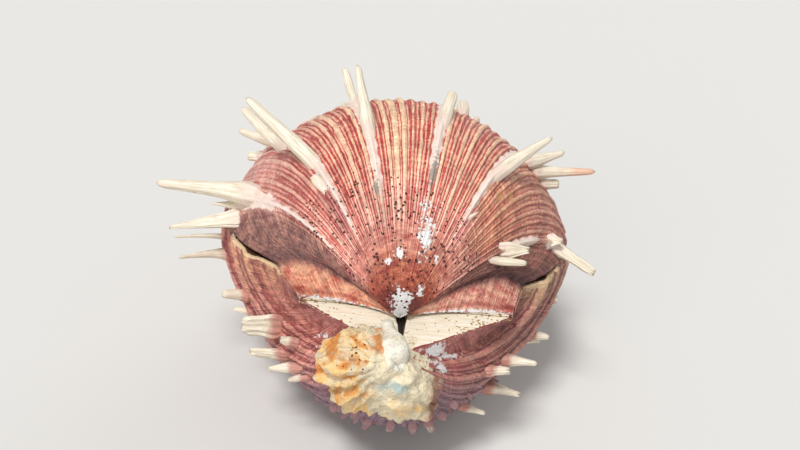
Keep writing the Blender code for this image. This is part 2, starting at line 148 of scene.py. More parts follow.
class Paint:
    """The shader nodes of one material."""

    def __init__(self, name: str) -> None:
        """Starts a material with its Principled shader.

        Args:
            name: Name of the material.
        """
        self.material = bpy.data.materials.new(name)
        self.material.use_nodes = True
        self.tree = self.material.node_tree
        self.shader = self.tree.nodes["Principled BSDF"]

    def put(self, node: bpy.types.Node, name: int | str, value: object) -> None:
        """Links or sets a node's input.

        Args:
            node: The node.
            name: Name or number of the input.
            value: Socket that it is linked to, or value that it is set to.
        """
        if isinstance(value, Socket):
            self.tree.links.new(value, node.inputs[name])
        else:
            node.inputs[name].default_value = value

    def add(
        self, kind: str, inputs: dict[int | str, object], out: int | str = 0, **settings: object
    ) -> Socket:
        """Adds a shader node.

        Args:
            kind: The node's type name, without its leading ShaderNode.
            inputs: Input name or number, and the socket it is linked to or the value it is set to.
            out: Name or number of the wanted output.
            settings: Properties of the node itself.

        Returns:
            The new node's wanted output socket.
        """
        made = self.tree.nodes.new("ShaderNode" + kind)
        for name, value in settings.items():
            setattr(made, name, value)
        for name, value in inputs.items():
            self.put(made, name, value)
        return made.outputs[out]

    def dapple(self, colour: Socket, levels: list[Socket]) -> Socket:
        """Multiplies a colour by grey levels.

        Args:
            colour: Socket of the colour.
            levels: Sockets of the grey levels.

        Returns:
            The new colour's socket.
        """
        for level in levels:
            grey = self.add("CombineColor", {0: level, 1: level, 2: level})
            inputs = {0: 1.0, 6: colour, 7: grey}
            colour = self.add("Mix", inputs, blend_type="MULTIPLY", **RGBA)
        return colour

    def stain(
        self, colour: object, shade: str, mask: Socket, ragged: Socket,
        rise: tuple[float, float, float], start: tuple[float, float] | None = None,
        **settings: object,
    ) -> tuple[Socket, Socket]:
        """Lays a stain with a ragged edge over a colour.

        Args:
            colour: Socket or value of the colour.
            shade: Colour of the stain.
            mask: Socket that tells how much stain there is.
            ragged: Socket that is added to the mask.
            rise: Values of that sum where the stain begins and is full, and its strength.
            start: Values of the mask alone where the stain may begin and be full, if any.
            settings: Properties of the node that makes the rise.

        Returns:
            The new colour's socket, and that of the stain's cover.
        """
        total = self.add("Math", {0: mask, 1: ragged}, operation="ADD")
        inputs = {"Value": total, "From Min": rise[0], "From Max": rise[1], "To Max": rise[2]}
        cover = self.add("MapRange", inputs, **settings)
        if start:
            there = {"Value": mask, "From Min": start[0], "From Max": start[1]}
            inputs = {0: cover, 1: self.add("MapRange", there)}
            cover = self.add("Math", inputs, operation="MULTIPLY")
        return self.add("Mix", {0: cover, 6: colour, 7: linear(shade)}, **RGBA), cover

    def pits(self, where: Socket, cell: float, reach: Socket, soft: float) -> Socket:
        """Round pits, one to each cell of a random mosaic.

        Args:
            where: Socket of the place.
            cell: Size of a cell in millimetres.
            reach: Socket of a pit's radius, in cells.
            soft: Width of a pit's edge, in cells.

        Returns:
            The socket of the pits' mask.
        """
        cells = self.add("TexVoronoi", {"Vector": where, "Scale": 1 / (cell * MM)})
        inside = self.add("Math", {0: reach, 1: cells}, operation="SUBTRACT")
        return self.add("MapRange", {"Value": inside, "From Min": 0.0, "From Max": soft})

    def finish(
        self, colour: object, roughness: object, height: Socket | None = None,
        relief: float = 0.0, strength: float = 1.0,
    ) -> bpy.types.Material:
        """Gives the shader its colour, roughness and relief.

        Args:
            colour: Socket or value of the colour.
            roughness: Socket or value of the roughness.
            height: Socket of the relief, if there is any.
            relief: Height of the relief in millimetres.
            strength: Strength of the relief.

        Returns:
            The material.
        """
        self.put(self.shader, "Base Color", colour)
        self.put(self.shader, "Roughness", roughness)
        if height is not None:
            inputs = {"Height": height, "Distance": relief * MM, "Strength": strength}
            self.put(self.shader, "Normal", self.add("Bump", inputs))
        return self.material


@dataclass(frozen=True)
class Outline:
    """Edge of both valves where they meet. Places -1 and 1 are the hinge's ends, 0 the far margin."""

    half_width: float = 50.0
    length: float = 94.7
    belly_y: float = 42.8
    roundness: float = 2.05
    hinge_left: float = 25.4
    hinge_right: float = 29.1
    notch_x: float = 33.4
    notch_y: float = 15.1
    ear_start: float = 0.86
    notch_start: float = 0.70
    # How much narrower the outline is than an oval, beside the ears and all down its right side
    waist: float = 0.038
    waist_place: float = 0.72
    lopsided: float = 0.012

    def belly(self, turn: np.ndarray) -> tuple[np.ndarray, np.ndarray]:
        """Points of the round part of the outline.

        Args:
            turn: Angles from +Y, about the middle of the belly.

        Returns:
            X and Y.
        """
        across, along = np.sin(turn), np.cos(turn)
        reach = np.where(along >= 0, self.length - self.belly_y, self.belly_y)
        total = np.abs(across / self.half_width) ** self.roundness
        total += np.abs(along / reach) ** self.roundness
        radius = total ** (-1 / self.roundness)
        return radius * across, self.belly_y + radius * along

    def points(self, place: np.ndarray) -> tuple[np.ndarray, np.ndarray]:
        """Points of the outline.

        Args:
            place: Places along it.

        Returns:
            X and Y.
        """
        reach, side = np.abs(place), np.where(place >= 0, 1.0, -1.0)
        notch_turn = math.atan2(self.notch_x, self.notch_y - self.belly_y)
        x, y = self.belly(notch_turn * np.minimum(reach / self.ear_start, 1.0))
        corner_x, corner_y = self.belly(np.array(notch_turn))
        pull = ease((reach - self.notch_start) / (self.ear_start - self.notch_start))
        slim = self.waist * hill(reach, self.waist_place, 0.10)
        slim += self.lopsided * side * ease(reach / 0.4)
        x = x * (1 - slim * (1 - pull)) + (self.notch_x - corner_x) * pull
        y = y + (self.notch_y - corner_y) * pull
        part = (reach - self.ear_start) / (1 - self.ear_start)
        hinge = np.where(place > 0, self.hinge_right, self.hinge_left)
        ear_x = self.notch_x + (hinge - self.notch_x) * part
        on_ear = part > 0
        return side * np.where(on_ear, ear_x, x), np.where(on_ear, self.notch_y * (1 - part), y)


@dataclass(frozen=True)
class GrowthSpiral:
    """The smooth growth surface of one valve. The shift of its beak makes the cardinal area.

    Side is 1 for the upper valve and -1 for the lower one. Turns are degrees about the hinge line,
    from 0 at the commissure to the last one at the beak.
    """

    side: int
    tightness: float
    last_turn: float
    beak_y: float
    beak_z: float
    shift_power: float
    slump: float = 0.0
    slump_turn: float = 28.0
    outline: Outline = Outline()

    def size(self, turn: np.ndarray) -> np.ndarray:
        """Size of the edge as the valve grew.

        Args:
            turn: Turns in degrees, 0 at the commissure.

        Returns:
            Sizes against 1 at the commissure.
        """
        angle, last = np.radians(turn), math.radians(self.last_turn)
        slumped = 1 - self.slump * hill(turn, self.slump_turn, 14.0)
        return slumped * np.exp(-self.tightness * angle) * np.sin(last - angle) / math.sin(last)

    def points(self, place: np.ndarray, turn: np.ndarray) -> np.ndarray:
        """Points of the surface.

        Args:
            place: Places along the outline.
            turn: Turn of each, in degrees.

        Returns:
            Points in millimetres from the middle of the hinge line.
        """
        x, y = self.outline.points(place)
        size, angle = self.size(turn), np.radians(turn)
        shift = np.clip(1 - size, 0, None) ** self.shift_power
        height = self.side * (size * y * np.sin(angle) + COMMISSURE_GAP / 2)
        depth = size * y * np.cos(angle) - shift * self.beak_y
        return np.stack((size * x, depth, height + shift * self.beak_z), -1)

    def directions(self, place: np.ndarray, turn: np.ndarray) -> tuple[np.ndarray, ...]:
        """Directions on the surface.

        Args:
            place: Places along the outline.
            turn: Turn of each, in degrees.

        Returns:
            Unit directions towards the margin, along the margin and outwards.
        """
        place_step, turn_step = 0.004, 0.5
        place = np.clip(place, place_step - 1, 1 - place_step)
        turn = np.clip(turn, turn_step, self.last_turn - 3 * turn_step)
        older, younger = (self.points(place, turn + s * turn_step) for s in (-1, 1))
        growth = unit(older - younger)
        left, right = (self.points(place + s * place_step, turn) for s in (-1, 1))
        along = right - left
        along = unit(along - growth * np.sum(along * growth, -1, keepdims=True))
        return growth, along, np.cross(along, growth) * self.side

    def lengths(self) -> tuple[np.ndarray, np.ndarray]:
        """Measures along the middle of the valve.

        Returns:
            Turns from 0 to the beak, and how far from the margin each lies.
        """
        turns = np.linspace(0, self.last_turn, 400)
        path = self.points(np.zeros_like(turns), turns)
        steps = np.linalg.norm(np.diff(path, axis=0), axis=1)
        return turns, np.concatenate(([0.0], np.cumsum(steps)))

    def age(self, turn: np.ndarray) -> np.ndarray:
        """Distance of a growth line from the margin, along the middle of the valve."""
        return np.interp(turn, *self.lengths())

    def turn_at(self, age: np.ndarray) -> np.ndarray:
        """The turn of the growth line at a distance from the margin."""
        turns, ages = self.lengths()
        return np.interp(age, ages, turns)


@dataclass(frozen=True)
class Ribs:
    """Strong ribs at places of the outline, and how many riblets lie between them.

    Ribs are counted by a phase that is a whole number on each crest and grows from left to right.
    """

    strong: tuple[float, ...]
    riblets: tuple[int, ...]
    ear_phases: float = 3.0
    edge: float = 0.86

    def stops(self) -> tuple[np.ndarray, np.ndarray]:
        """Places where the phase is known.

        Returns:
            Places of the strong ribs and of the ears' ends, and their phases.
        """
        counts = np.cumsum([n + 1 for n in self.riblets])
        places = (-1.0, -self.edge, *self.strong, self.edge, 1.0)
        phases = (-self.ear_phases, 0.0, *counts, counts[-1] + self.ear_phases)
        return np.array(places), np.array(phases)

    def phase(self, place: np.ndarray) -> np.ndarray:
        """Phase at each place."""
        return np.interp(place, *self.stops())

    def strong_phases(self) -> np.ndarray:
        """Phases of the strong ribs."""
        return self.stops()[1][2:-2]

    def columns(self, per_rib: int) -> np.ndarray:
        """Places of the columns of a mesh.

        Args:
            per_rib: Number of columns to each rib.

        Returns:
            The places, from left to right.
        """
        places, phases = self.stops()
        count = round((phases[-1] - phases[0]) * per_rib)
        return np.interp(np.linspace(phases[0], phases[-1], count + 1), phases, places)


class SpineForm(Enum):
    """How a spine grew and wore, as its channel depth, ridge height, cupping and broken tip."""

    GUTTERED = (0.85, 0.06, 0.0, 0.35)
    ROUND = (0.15, 0.05, 0.0, 0.25)
    STUB = (0.0, 0.08, 0.0, 0.35)
    SCALE = (0.3, 0.10, 0.45, 1.1)

    def __init__(self, gutter: float, ridges: float, cup: float, broken: float) -> None:
        """Names the four numbers of each form."""
        self.gutter, self.ridges, self.cup, self.broken = gutter, ridges, cup, broken


@dataclass(frozen=True)
class Spine:
    """A spine or scale: where it stands, how far it leans, and its size in millimetres.

    Lean and side are degrees towards the margin and along it. Tip and flatness are shares of the
    width, and root is how far back the spine's root runs in the rib. Blush is how peach its end
    is, and stain how far it took the colour of the skin.
    """

    place: float
    turn: float
    length: float
    lean: float
    side: float
    width: float
    tip: float = 0.70
    flatness: float = 0.90
    form: SpineForm = SpineForm.ROUND
    root: float = 7.0
    bend: float = 0.0
    blush: float = 0.0
    stain: float = 0.0


@dataclass(frozen=True)
class ColourZone:
    """Colours of the crests and grooves of the ribs about one place and turn of a valve."""

    place: float
    turn: float
    reach: float
    span: float
    crest: str
    groove: str


@dataclass(frozen=True)
class Patch:
    """A spot on a valve, such as a chalky or dirty one."""

    place: float
    turn: float
    reach: float
    span: float
    strength: float = 1.0

    def cover(self, place: np.ndarray, turn: np.ndarray) -> np.ndarray:
        """How strongly the patch covers each point, from 0 to 1."""
        return self.strength * hill(place, self.place, self.reach) * hill(turn, self.turn, self.span)


@dataclass(frozen=True)
class PaleRib:
    """Stretch of a strong rib that is worn to its pale inside: phase, and the turns of its ends."""

    phase: float
    first: float
    last: float
    fade: float
    width: float = 0.55
    strength: float = 1.0

    def cover(self, phase: np.ndarray, turn: np.ndarray) -> np.ndarray:
        """How pale each point is.

        Args:
            phase: Phase of each point.
            turn: Turn of each, in degrees.

        Returns:
            Values from 0 to 1.
        """
        stretch = ease((turn - self.first + 4) / 4) * (1 - ease((turn - self.last) / self.fade))
        edge = self.width - 0.10 * np.sin(turn * 1.3) - np.abs(phase - self.phase)
        return self.strength * stretch * ease(edge / 0.3 + 0.5)


@dataclass
class Sheet:
    """Points of a grid that was laid in a mesh, with the column and row of each."""

    points: list[bmesh.types.BMVert]
    column: np.ndarray
    row: np.ndarray


# Marks run from 0 to 1, and each finish says what they mean on it
MARKS = ("pale", "chalk", "bored", "grime", "ochre")
FLOAT_LAYERS = ("phase", "age", "cream", "band", "ribbing", "growth", *MARKS)
COLOUR_LAYERS = ("crest", "groove")


class ShellMesh:
    """A mesh in the making, with the layers that the shell's finishes read."""

    def __init__(self) -> None:
        """Starts an empty mesh with all of its layers."""
        self.bm = bmesh.new()
        for name in FLOAT_LAYERS:
            self.bm.verts.layers.float.new(name)
        for name in COLOUR_LAYERS:
            self.bm.verts.layers.float_color.new(name)

    def lay(self, columns: int, rows: int, slot: int = 0) -> Sheet:
        """Lays a new grid.

        Args:
            columns: Number of points across.
            rows: Number of points along.
            slot: Material slot of the grid's faces.

        Returns:
            The grid's points, which are still to be placed.
        """
        before = len(self.bm.faces)
        made = bmesh.ops.create_grid(
            self.bm, x_segments=columns - 1, y_segments=rows - 1, size=1.0
        )["verts"]
        self.bm.faces.ensure_lookup_table()
        for face in self.bm.faces[before:]:
            face.material_index = slot
            face.smooth = True
        flat = np.array([vert.co[:2] for vert in made])
        column, row = np.rint((flat + 1) / 2 * (columns - 1, rows - 1)).astype(int).T
        return Sheet(made, column, row)

    def place(self, sheet: Sheet, points: np.ndarray, values: dict[str, np.ndarray]) -> None:
        """Moves a grid's points to places in the hinge's frame, and fills in their layers.

        Args:
            sheet: The grid.
            points: A place for each point, in millimetres.
            values: Layer name and a value for each point.
        """
        for vert, place in zip(sheet.points, (points + HINGE_SEAT) * MM):
            vert.co = place
        layers = self.bm.verts.layers
        for name, numbers in values.items():
            layer = layers.float_color[name] if name in COLOUR_LAYERS else layers.float[name]
            for vert, number in zip(sheet.points, numbers):
                vert[layer] = number

    def finish(
        self, name: str, materials: list[bpy.types.Material], weld: float = 0.002
    ) -> bpy.types.Object:
        """Closes the seams and makes the object.

        Args:
            name: Name of the object.
            materials: Its material slots.
            weld: Points closer than this many millimetres become one.

        Returns:
            The new object.
        """
        bmesh.ops.remove_doubles(self.bm, verts=self.bm.verts, dist=weld * MM)
        bmesh.ops.dissolve_degenerate(self.bm, edges=self.bm.edges, dist=weld * MM / 10)
        bmesh.ops.recalc_face_normals(self.bm, faces=self.bm.faces)
        return to_object(self.bm, name, materials)


@dataclass(frozen=True)
class RibbedCalcite:
    """Skin of a thorny oyster's valve: ribbed calcite, weathered, laid down line by line.

    The eye sees cream crests, wine-red grooves with a thin thread between two lines, fine growth
    lines, chalky white where the skin is gone and pinholes where sponges bored it.
    """

    name: str
    line_colour: str = "#a02c30"
    blotch_colour: str = "#a83c3c"
    pale_colour: str = "#ecdace"
    chalk_colour: str = "#e4e1df"
    hole_colour: str = "#46170f"
    grime_colour: str = "#85857b"
    ochre_colour: str = "#c08c5c"
    # Real sizes in millimetres: a boring's cell and radius, a mottle, a grain, a growth line
    hole_cell: float = 1.3
    hole_radius: float = 0.38
    mottle: float = 3.2
    grain: float = 0.8
    growth_line: float = 0.9
    # How far the bands stray from the ribs and how ragged their edges are, in ribs
    sway: float = 0.12
    jag: float = 0.26
    line_strength: float = 0.68
    thread_strength: float = 0.62
    blotch_strength: float = 0.36
    # How strongly threads split the crests, and pale dashes cross the grooves
    fraying: float = 0.34
    dashes: float = 0.22
    roughness: float = 0.5
    chalk_roughness: float = 0.85
    relief: float = 0.4

    def noises(self, paint: Paint, given: dict[str, Socket]) -> dict[str, Socket]:
        """Random patterns of the skin.

        Args:
            paint: The material's nodes.
            given: Sockets of the layers and of the place.

        Returns:
            A socket for each pattern: streaks and threads along the ribs, growth lines, broad
            bands, mottles and grain.
        """
        strip = paint.add("CombineXYZ", {"X": given["phase"], "Y": given["age"]})
        made = {}
        # How many patches there are to a rib and to a millimetre, the detail and the distortion
        stretched = {
            "streak": ((3.2, 0.10, 0), 4.0, 0.3),
            "thread": ((8.5, 0.16, 0), 3.0, 0.4),
            "lines": ((0.25, 1 / self.growth_line, 0), 3.0, 0.6),
            "broad": ((0.08, 0.15, 0), 2.0, 0.0),
        }
        for name, (stretch, detail, distortion) in stretched.items():
            place = paint.add("VectorMath", {0: strip, 1: stretch}, operation="MULTIPLY")
            inputs = {"Vector": place, "Scale": 1.0, "Detail": detail, "Distortion": distortion}
            made[name] = paint.add("TexNoise", inputs)
        for name, size, detail in (("mottle", self.mottle, 6.0), ("grain", self.grain, 4.0)):
            inputs = {"Vector": given["where"], "Scale": 1 / (size * MM), "Detail": detail}
            made[name] = paint.add("TexNoise", inputs | {"Roughness": 0.6})
        return made

    def pattern(self, paint: Paint, given: dict[str, Socket]) -> Socket:
        """Ribs of the living shell.

        Args:
            paint: The material's nodes.
            given: Sockets of the layers, of the place and of the random patterns.

        Returns:
            The colour's socket.
        """
        sides = {"To Min": -self.sway, "To Max": self.sway}
        sway = paint.add("MapRange", {"Value": given["mottle"]} | sides)
        swayed = paint.add("Math", {0: given["phase"], 1: sway}, operation="ADD")
        off = paint.add("Math", {0: swayed, 1: 0.5}, operation="PINGPONG")
        sides = {"To Min": -self.jag, "To Max": self.jag}
        jag = paint.add("MapRange", {"Value": given["streak"]} | sides)
        off = paint.add("Math", {0: off, 1: jag}, operation="ADD")
        edge = paint.add("Math", {0: off, 1: given["band"]}, operation="SUBTRACT")
        fall = {"From Min": -0.05, "From Max": 0.07, "To Min": 1.0, "To Max": 0.0}
        crest = paint.add("MapRange", {"Value": edge} | fall, **SMOOTH)
        crest = paint.add("Math", {0: crest, 1: given["cream"]}, operation="MULTIPLY")
        crest = self.fray(paint, given, crest)
        inputs = {0: given["lines"], 1: 0.5, 2: given["mottle"]}
        cloud = paint.add("Math", inputs, operation="MULTIPLY_ADD")
        rise = {"From Min": 0.60, "From Max": 0.92, "To Max": 0.95}
        cloud = paint.add("MapRange", {"Value": cloud} | rise)
        crest = paint.add("Mix", {0: given["ribbing"], 2: cloud, 3: crest}, data_type="FLOAT")
        colour = paint.add("Mix", {0: crest, 6: given["groove"], 7: given["crest"]}, **RGBA)

        rise = {"From Min": 0.39, "From Max": 0.46, "To Max": self.thread_strength}
        thread = paint.add("MapRange", {"Value": off} | rise, **SMOOTH)
        off_line = paint.add("Math", {0: edge, 1: 0.09}, operation="SUBTRACT")
        off_line = paint.add("Math", {0: off_line}, operation="ABSOLUTE")
        fall = {"From Min": 0.01, "From Max": 0.07, "To Min": self.line_strength, "To Max": 0.0}
        line = paint.add("MapRange", {"Value": off_line} | fall, **SMOOTH)
        for mask, shade in ((thread, given["crest"]), (line, linear(self.line_colour))):
            mask = paint.add("Math", {0: mask, 1: given["ribbing"]}, operation="MULTIPLY")
            colour = paint.add("Mix", {0: mask, 6: colour, 7: shade}, **RGBA)
        rise = {"From Min": 0.54, "From Max": 0.72, "To Max": self.blotch_strength}
        blotch = paint.add("MapRange", {"Value": given["mottle"]} | rise)
        return paint.add("Mix", {0: blotch, 6: colour, 7: linear(self.blotch_colour)}, **RGBA)

    def fray(self, paint: Paint, given: dict[str, Socket], crest: Socket) -> Socket:
        """Splits the cream crests into threads, and crosses the grooves with pale dashes.

        Args:
            paint: The material's nodes.
            given: Sockets of the layers, of the place and of the random patterns.
            crest: Socket that tells how cream the skin is.

        Returns:
            The socket of the same value, frayed.
        """
        for name, low, high, less, more in (
            ("thread", 0.34, 0.66, -self.fraying, self.fraying),
            ("lines", 0.52, 0.66, 0.0, self.dashes),
        ):
            limits = {"From Min": low, "From Max": high, "To Min": less, "To Max": more}
            part = paint.add("MapRange", {"Value": given[name]} | limits)
            crest = paint.add("Math", {0: crest, 1: part}, operation="ADD", use_clamp=True)
        return crest

    def shade(self, paint: Paint, given: dict[str, Socket], colour: Socket) -> Socket:
        """Darkens and lightens a colour by streaks, bands and growth lines.

        Args:
            paint: The material's nodes.
            given: Sockets of the layers, of the place and of the random patterns.
            colour: Socket of the colour.

        Returns:
            The new colour's socket.
        """
        off_mean = paint.add("Math", {0: given["lines"], 1: -0.5}, operation="ADD")
        inputs = {0: off_mean, 1: given["growth"], 2: 1.0}
        levels = [paint.add("Math", inputs, operation="MULTIPLY_ADD")]
        for name, low, high in (("streak", 0.78, 1.20), ("broad", 0.82, 1.16), ("grain", 0.74, 1.22)):
            limits = {"From Min": 0.3, "From Max": 0.7, "To Min": low, "To Max": high}
            levels.append(paint.add("MapRange", {"Value": given[name]} | limits))
        return paint.dapple(colour, levels)

    def weather(self, paint: Paint, given: dict[str, Socket], colour: Socket) -> tuple[Socket, Socket]:
        """Bleached ribs, stains, grime and chalk.

        Args:
            paint: The material's nodes.
            given: Sockets of the layers, of the place and of the random patterns.
            colour: Socket of the colour.

        Returns:
            The new colour's socket, and that of the chalk's mask.
        """
        rough_edge = paint.add("Math", {0: given["grain"], 1: given["mottle"]}, operation="ADD")
        # How ragged each is, where its mask begins and is full, and its strength
        kinds = (
            ("pale", self.pale_colour, 0.8, (0.05, 0.95, 0.88)),
            ("ochre", self.ochre_colour, 1.5, (0.35, 0.65, 0.85)),
            ("grime", self.grime_colour, 1.2, (0.30, 0.70, 0.85)),
            ("chalk", self.chalk_colour, 1.5, (0.40, 0.56, 0.95)),
        )
        covers = {}
        for name, shade, ragged, rise in kinds:
            sides = {"From Min": 0.6, "From Max": 1.4, "To Min": -ragged / 2, "To Max": ragged / 2}
            edge = paint.add("MapRange", {"Value": rough_edge} | sides)
            colour, covers[name] = paint.stain(
                colour, shade, given[name], edge, rise, start=(0.02, 0.12), **SMOOTH
            )
        return colour, covers["chalk"]

    def material(self) -> bpy.types.Material:
        """Builds the material.

        Returns:
            The material.
        """
        paint = Paint(self.name)
        given = {name: paint.add("Attribute", {}, "Fac", attribute_name=name) for name in FLOAT_LAYERS}
        for name in COLOUR_LAYERS:
            given[name] = paint.add("Attribute", {}, "Color", attribute_name=name)
        given["where"] = paint.add("TexCoord", {}, "Object")
        given |= self.noises(paint, given)
        colour = self.pattern(paint, given)
        colour = self.shade(paint, given, colour)
        colour, chalk = self.weather(paint, given, colour)
        radius = self.hole_radius / self.hole_cell
        reach = paint.add("Math", {0: given["bored"], 1: radius}, operation="MULTIPLY")
        hole = paint.pits(given["where"], self.hole_cell, reach, soft=0.05)
        colour = paint.add("Mix", {0: hole, 6: colour, 7: linear(self.hole_colour)}, **RGBA)
        sides = {"To Min": self.roughness - 0.1, "To Max": self.roughness + 0.16}
        dull = paint.add("MapRange", {"Value": given["grain"]} | sides)
        dull = paint.add("Mix", {0: chalk, 2: dull, 3: self.chalk_roughness}, data_type="FLOAT")
        height = paint.add("Math", {0: given["lines"], 1: given["growth"]}, operation="MULTIPLY")
        shares = ((given["streak"], 0.6), (given["grain"], 0.6), (chalk, 0.25), (hole, -1.6))
        for pattern, share in shares:
            height = paint.add("Math", {0: pattern, 1: share, 2: height}, operation="MULTIPLY_ADD")
        return paint.finish(colour, dull, height, self.relief, 0.9)


@dataclass(frozen=True)
class IvoryCalcite:
    """Spines: bare calcite, ivory and silky, with fine ridges along them and rosy roots."""

    name: str = "ivory calcite spine"
    colour: str = "#eae0cd"
    hollow_colour: str = "#cbbca0"
    root_colour: str = "#dfc3b8"
    root_strength: float = 0.6
    blush_colour: str = "#d9a488"
    blush_strength: float = 0.85
    stain_colour: str = "#8d6a72"
    stain_strength: float = 0.8
    # Ridges along a spine, counted round it
    ridges: float = 22.0
    mottle: float = 2.5
    roughness: float = 0.45
    relief: float = 0.2

    def material(self) -> bpy.types.Material:
        """Builds the material. Phase runs round the spine, and age along it in millimetres.

        Returns:
            The material.
        """
        paint = Paint(self.name)
        around, along, root, blush, stain = (
            paint.add("Attribute", {}, "Fac", attribute_name=name)
            for name in ("phase", "age", "pale", "ochre", "grime")
        )
        where = paint.add("TexCoord", {}, "Object")
        strip = paint.add("CombineXYZ", {"X": around, "Y": along})
        strip = paint.add("VectorMath", {0: strip, 1: (self.ridges, 0.15, 0)}, operation="MULTIPLY")
        silk = paint.add("TexNoise", {"Vector": strip, "Scale": 1.0, "Detail": 3.0})
        inputs = {"Vector": where, "Scale": 1 / (self.mottle * MM), "Detail": 4.0}
        mottle = paint.add("TexNoise", inputs)
        streak = paint.add("MapRange", {"Value": silk, "From Min": 0.30, "From Max": 0.60})
        colours = {6: linear(self.hollow_colour), 7: linear(self.colour)}
        colour = paint.add("Mix", {0: streak} | colours, **RGBA)
        rough_edge = paint.add("Math", {0: mottle, 1: silk}, operation="ADD")
        sides = {"From Min": 0.7, "From Max": 1.3, "To Min": -0.4, "To Max": 0.4}
        ragged = paint.add("MapRange", {"Value": rough_edge} | sides)
        for mask, shade, strength in (
            (root, self.root_colour, self.root_strength),
            (blush, self.blush_colour, self.blush_strength),
            (stain, self.stain_colour, self.stain_strength),
        ):
            colour, _ = paint.stain(colour, shade, mask, ragged, (0.2, 0.9, strength))
        return paint.finish(colour, self.roughness, silk, self.relief, 0.8)


@dataclass(frozen=True)
class CardinalCalcite:
    """Hinge plate: bare chalky calcite, cream, with ochre pits crowded in places."""

    name: str = "chalky cream hinge plate"
    colour: str = "#efe6d4"
    stripe_colour: str = "#e0d0b4"
    pit_colour: str = "#ae8246"
    edge_colour: str = "#84302a"
    pit_cell: float = 1.0
    stripe: float = 0.8
    mottle: float = 2.0
    roughness: float = 0.75
    relief: float = 0.2

    def material(self) -> bpy.types.Material:
        """Builds the material. Ochre tells where pits crowd, and grime where the skin begins.

        Returns:
            The material.
        """
        paint = Paint(self.name)
        crowded, skin = (
            paint.add("Attribute", {}, "Fac", attribute_name=name) for name in ("ochre", "grime")
        )
        where = paint.add("TexCoord", {}, "Object")
        strip = paint.add("VectorMath", {0: where, 1: (0.15, 1.0, 1.0)}, operation="MULTIPLY")
        inputs = {"Vector": strip, "Scale": 1 / (self.stripe * MM), "Detail": 3.0}
        stripes = paint.add("TexNoise", inputs)
        inputs = {"Vector": where, "Scale": 1 / (self.mottle * MM), "Detail": 5.0}
        mottle = paint.add("TexNoise", inputs)
        tone = paint.add("MapRange", {"Value": stripes, "From Min": 0.3, "From Max": 0.7})
        colours = {6: linear(self.stripe_colour), 7: linear(self.colour)}
        colour = paint.add("Mix", {0: tone} | colours, **RGBA)
        crowd = paint.add("Math", {0: mottle, 1: crowded}, operation="ADD")
        rise = {"From Min": 0.5, "From Max": 1.3, "To Max": 0.40}
        reach = paint.add("MapRange", {"Value": crowd} | rise)
        pit = paint.pits(where, self.pit_cell, reach, soft=0.08)
        colour = paint.add("Mix", {0: pit, 6: colour, 7: linear(self.pit_colour)}, **RGBA)
        ragged = paint.add("MapRange", {"Value": mottle, "To Min": -0.9, "To Max": 0.9})
        colour, _ = paint.stain(colour, self.edge_colour, skin, ragged, (0.40, 0.60, 1.0))
        height = paint.add("Math", {0: pit, 1: -1.5, 2: stripes}, operation="MULTIPLY_ADD")
        return paint.finish(colour, self.roughness, height, self.relief, 0.8)


@dataclass(frozen=True)
class PorcelainCalcite:
    """Inside of the valves: smooth porcelain-like calcite, off-white, with a dark brown rim."""

    name: str = "porcelain shell lining"
    colour: str = "#efe9df"
    cloud_colour: str = "#dccdbb"
    rim_colour: str = "#4a3020"
    cloud: float = 12.0
    roughness: float = 0.3

    def material(self) -> bpy.types.Material:
        """Builds the material. Ochre tells where the brown rim is.

        Returns:
            The material.
        """
        paint = Paint(self.name)
        rim = paint.add("Attribute", {}, "Fac", attribute_name="ochre")
        where = paint.add("TexCoord", {}, "Object")
        inputs = {"Vector": where, "Scale": 1 / (self.cloud * MM), "Detail": 3.0}
        cloud = paint.add("TexNoise", inputs)
        colours = {6: linear(self.colour), 7: linear(self.cloud_colour)}
        colour = paint.add("Mix", {0: cloud} | colours, **RGBA)
        colour = paint.add("Mix", {0: rim, 6: colour, 7: linear(self.rim_colour)}, **RGBA)
        return paint.finish(colour, self.roughness)


@dataclass(frozen=True)
class DriedLigament:
    """Ligament: horny protein, dried black and brittle, split along its fibres."""

    name: str = "dried black ligament"
    colour: str = "#17120f"
    fibre_colour: str = "#4a3a2c"
    fibre: float = 0.25
    roughness: float = 0.55
    relief: float = 0.2

    def material(self) -> bpy.types.Material:
        """Builds the material.

        Returns:
            The material.
        """
        paint = Paint(self.name)
        where = paint.add("TexCoord", {}, "Object")
        strip = paint.add("VectorMath", {0: where, 1: (1.0, 0.12, 1.0)}, operation="MULTIPLY")
        inputs = {"Vector": strip, "Scale": 1 / (self.fibre * MM), "Detail": 3.0}
        fibres = paint.add("TexNoise", inputs)
        tone = paint.add("MapRange", {"Value": fibres, "From Min": 0.5, "From Max": 0.8})
        colours = {6: linear(self.colour), 7: linear(self.fibre_colour)}
        colour = paint.add("Mix", {0: tone} | colours, **RGBA)
        return paint.finish(colour, self.roughness, fibres, self.relief)


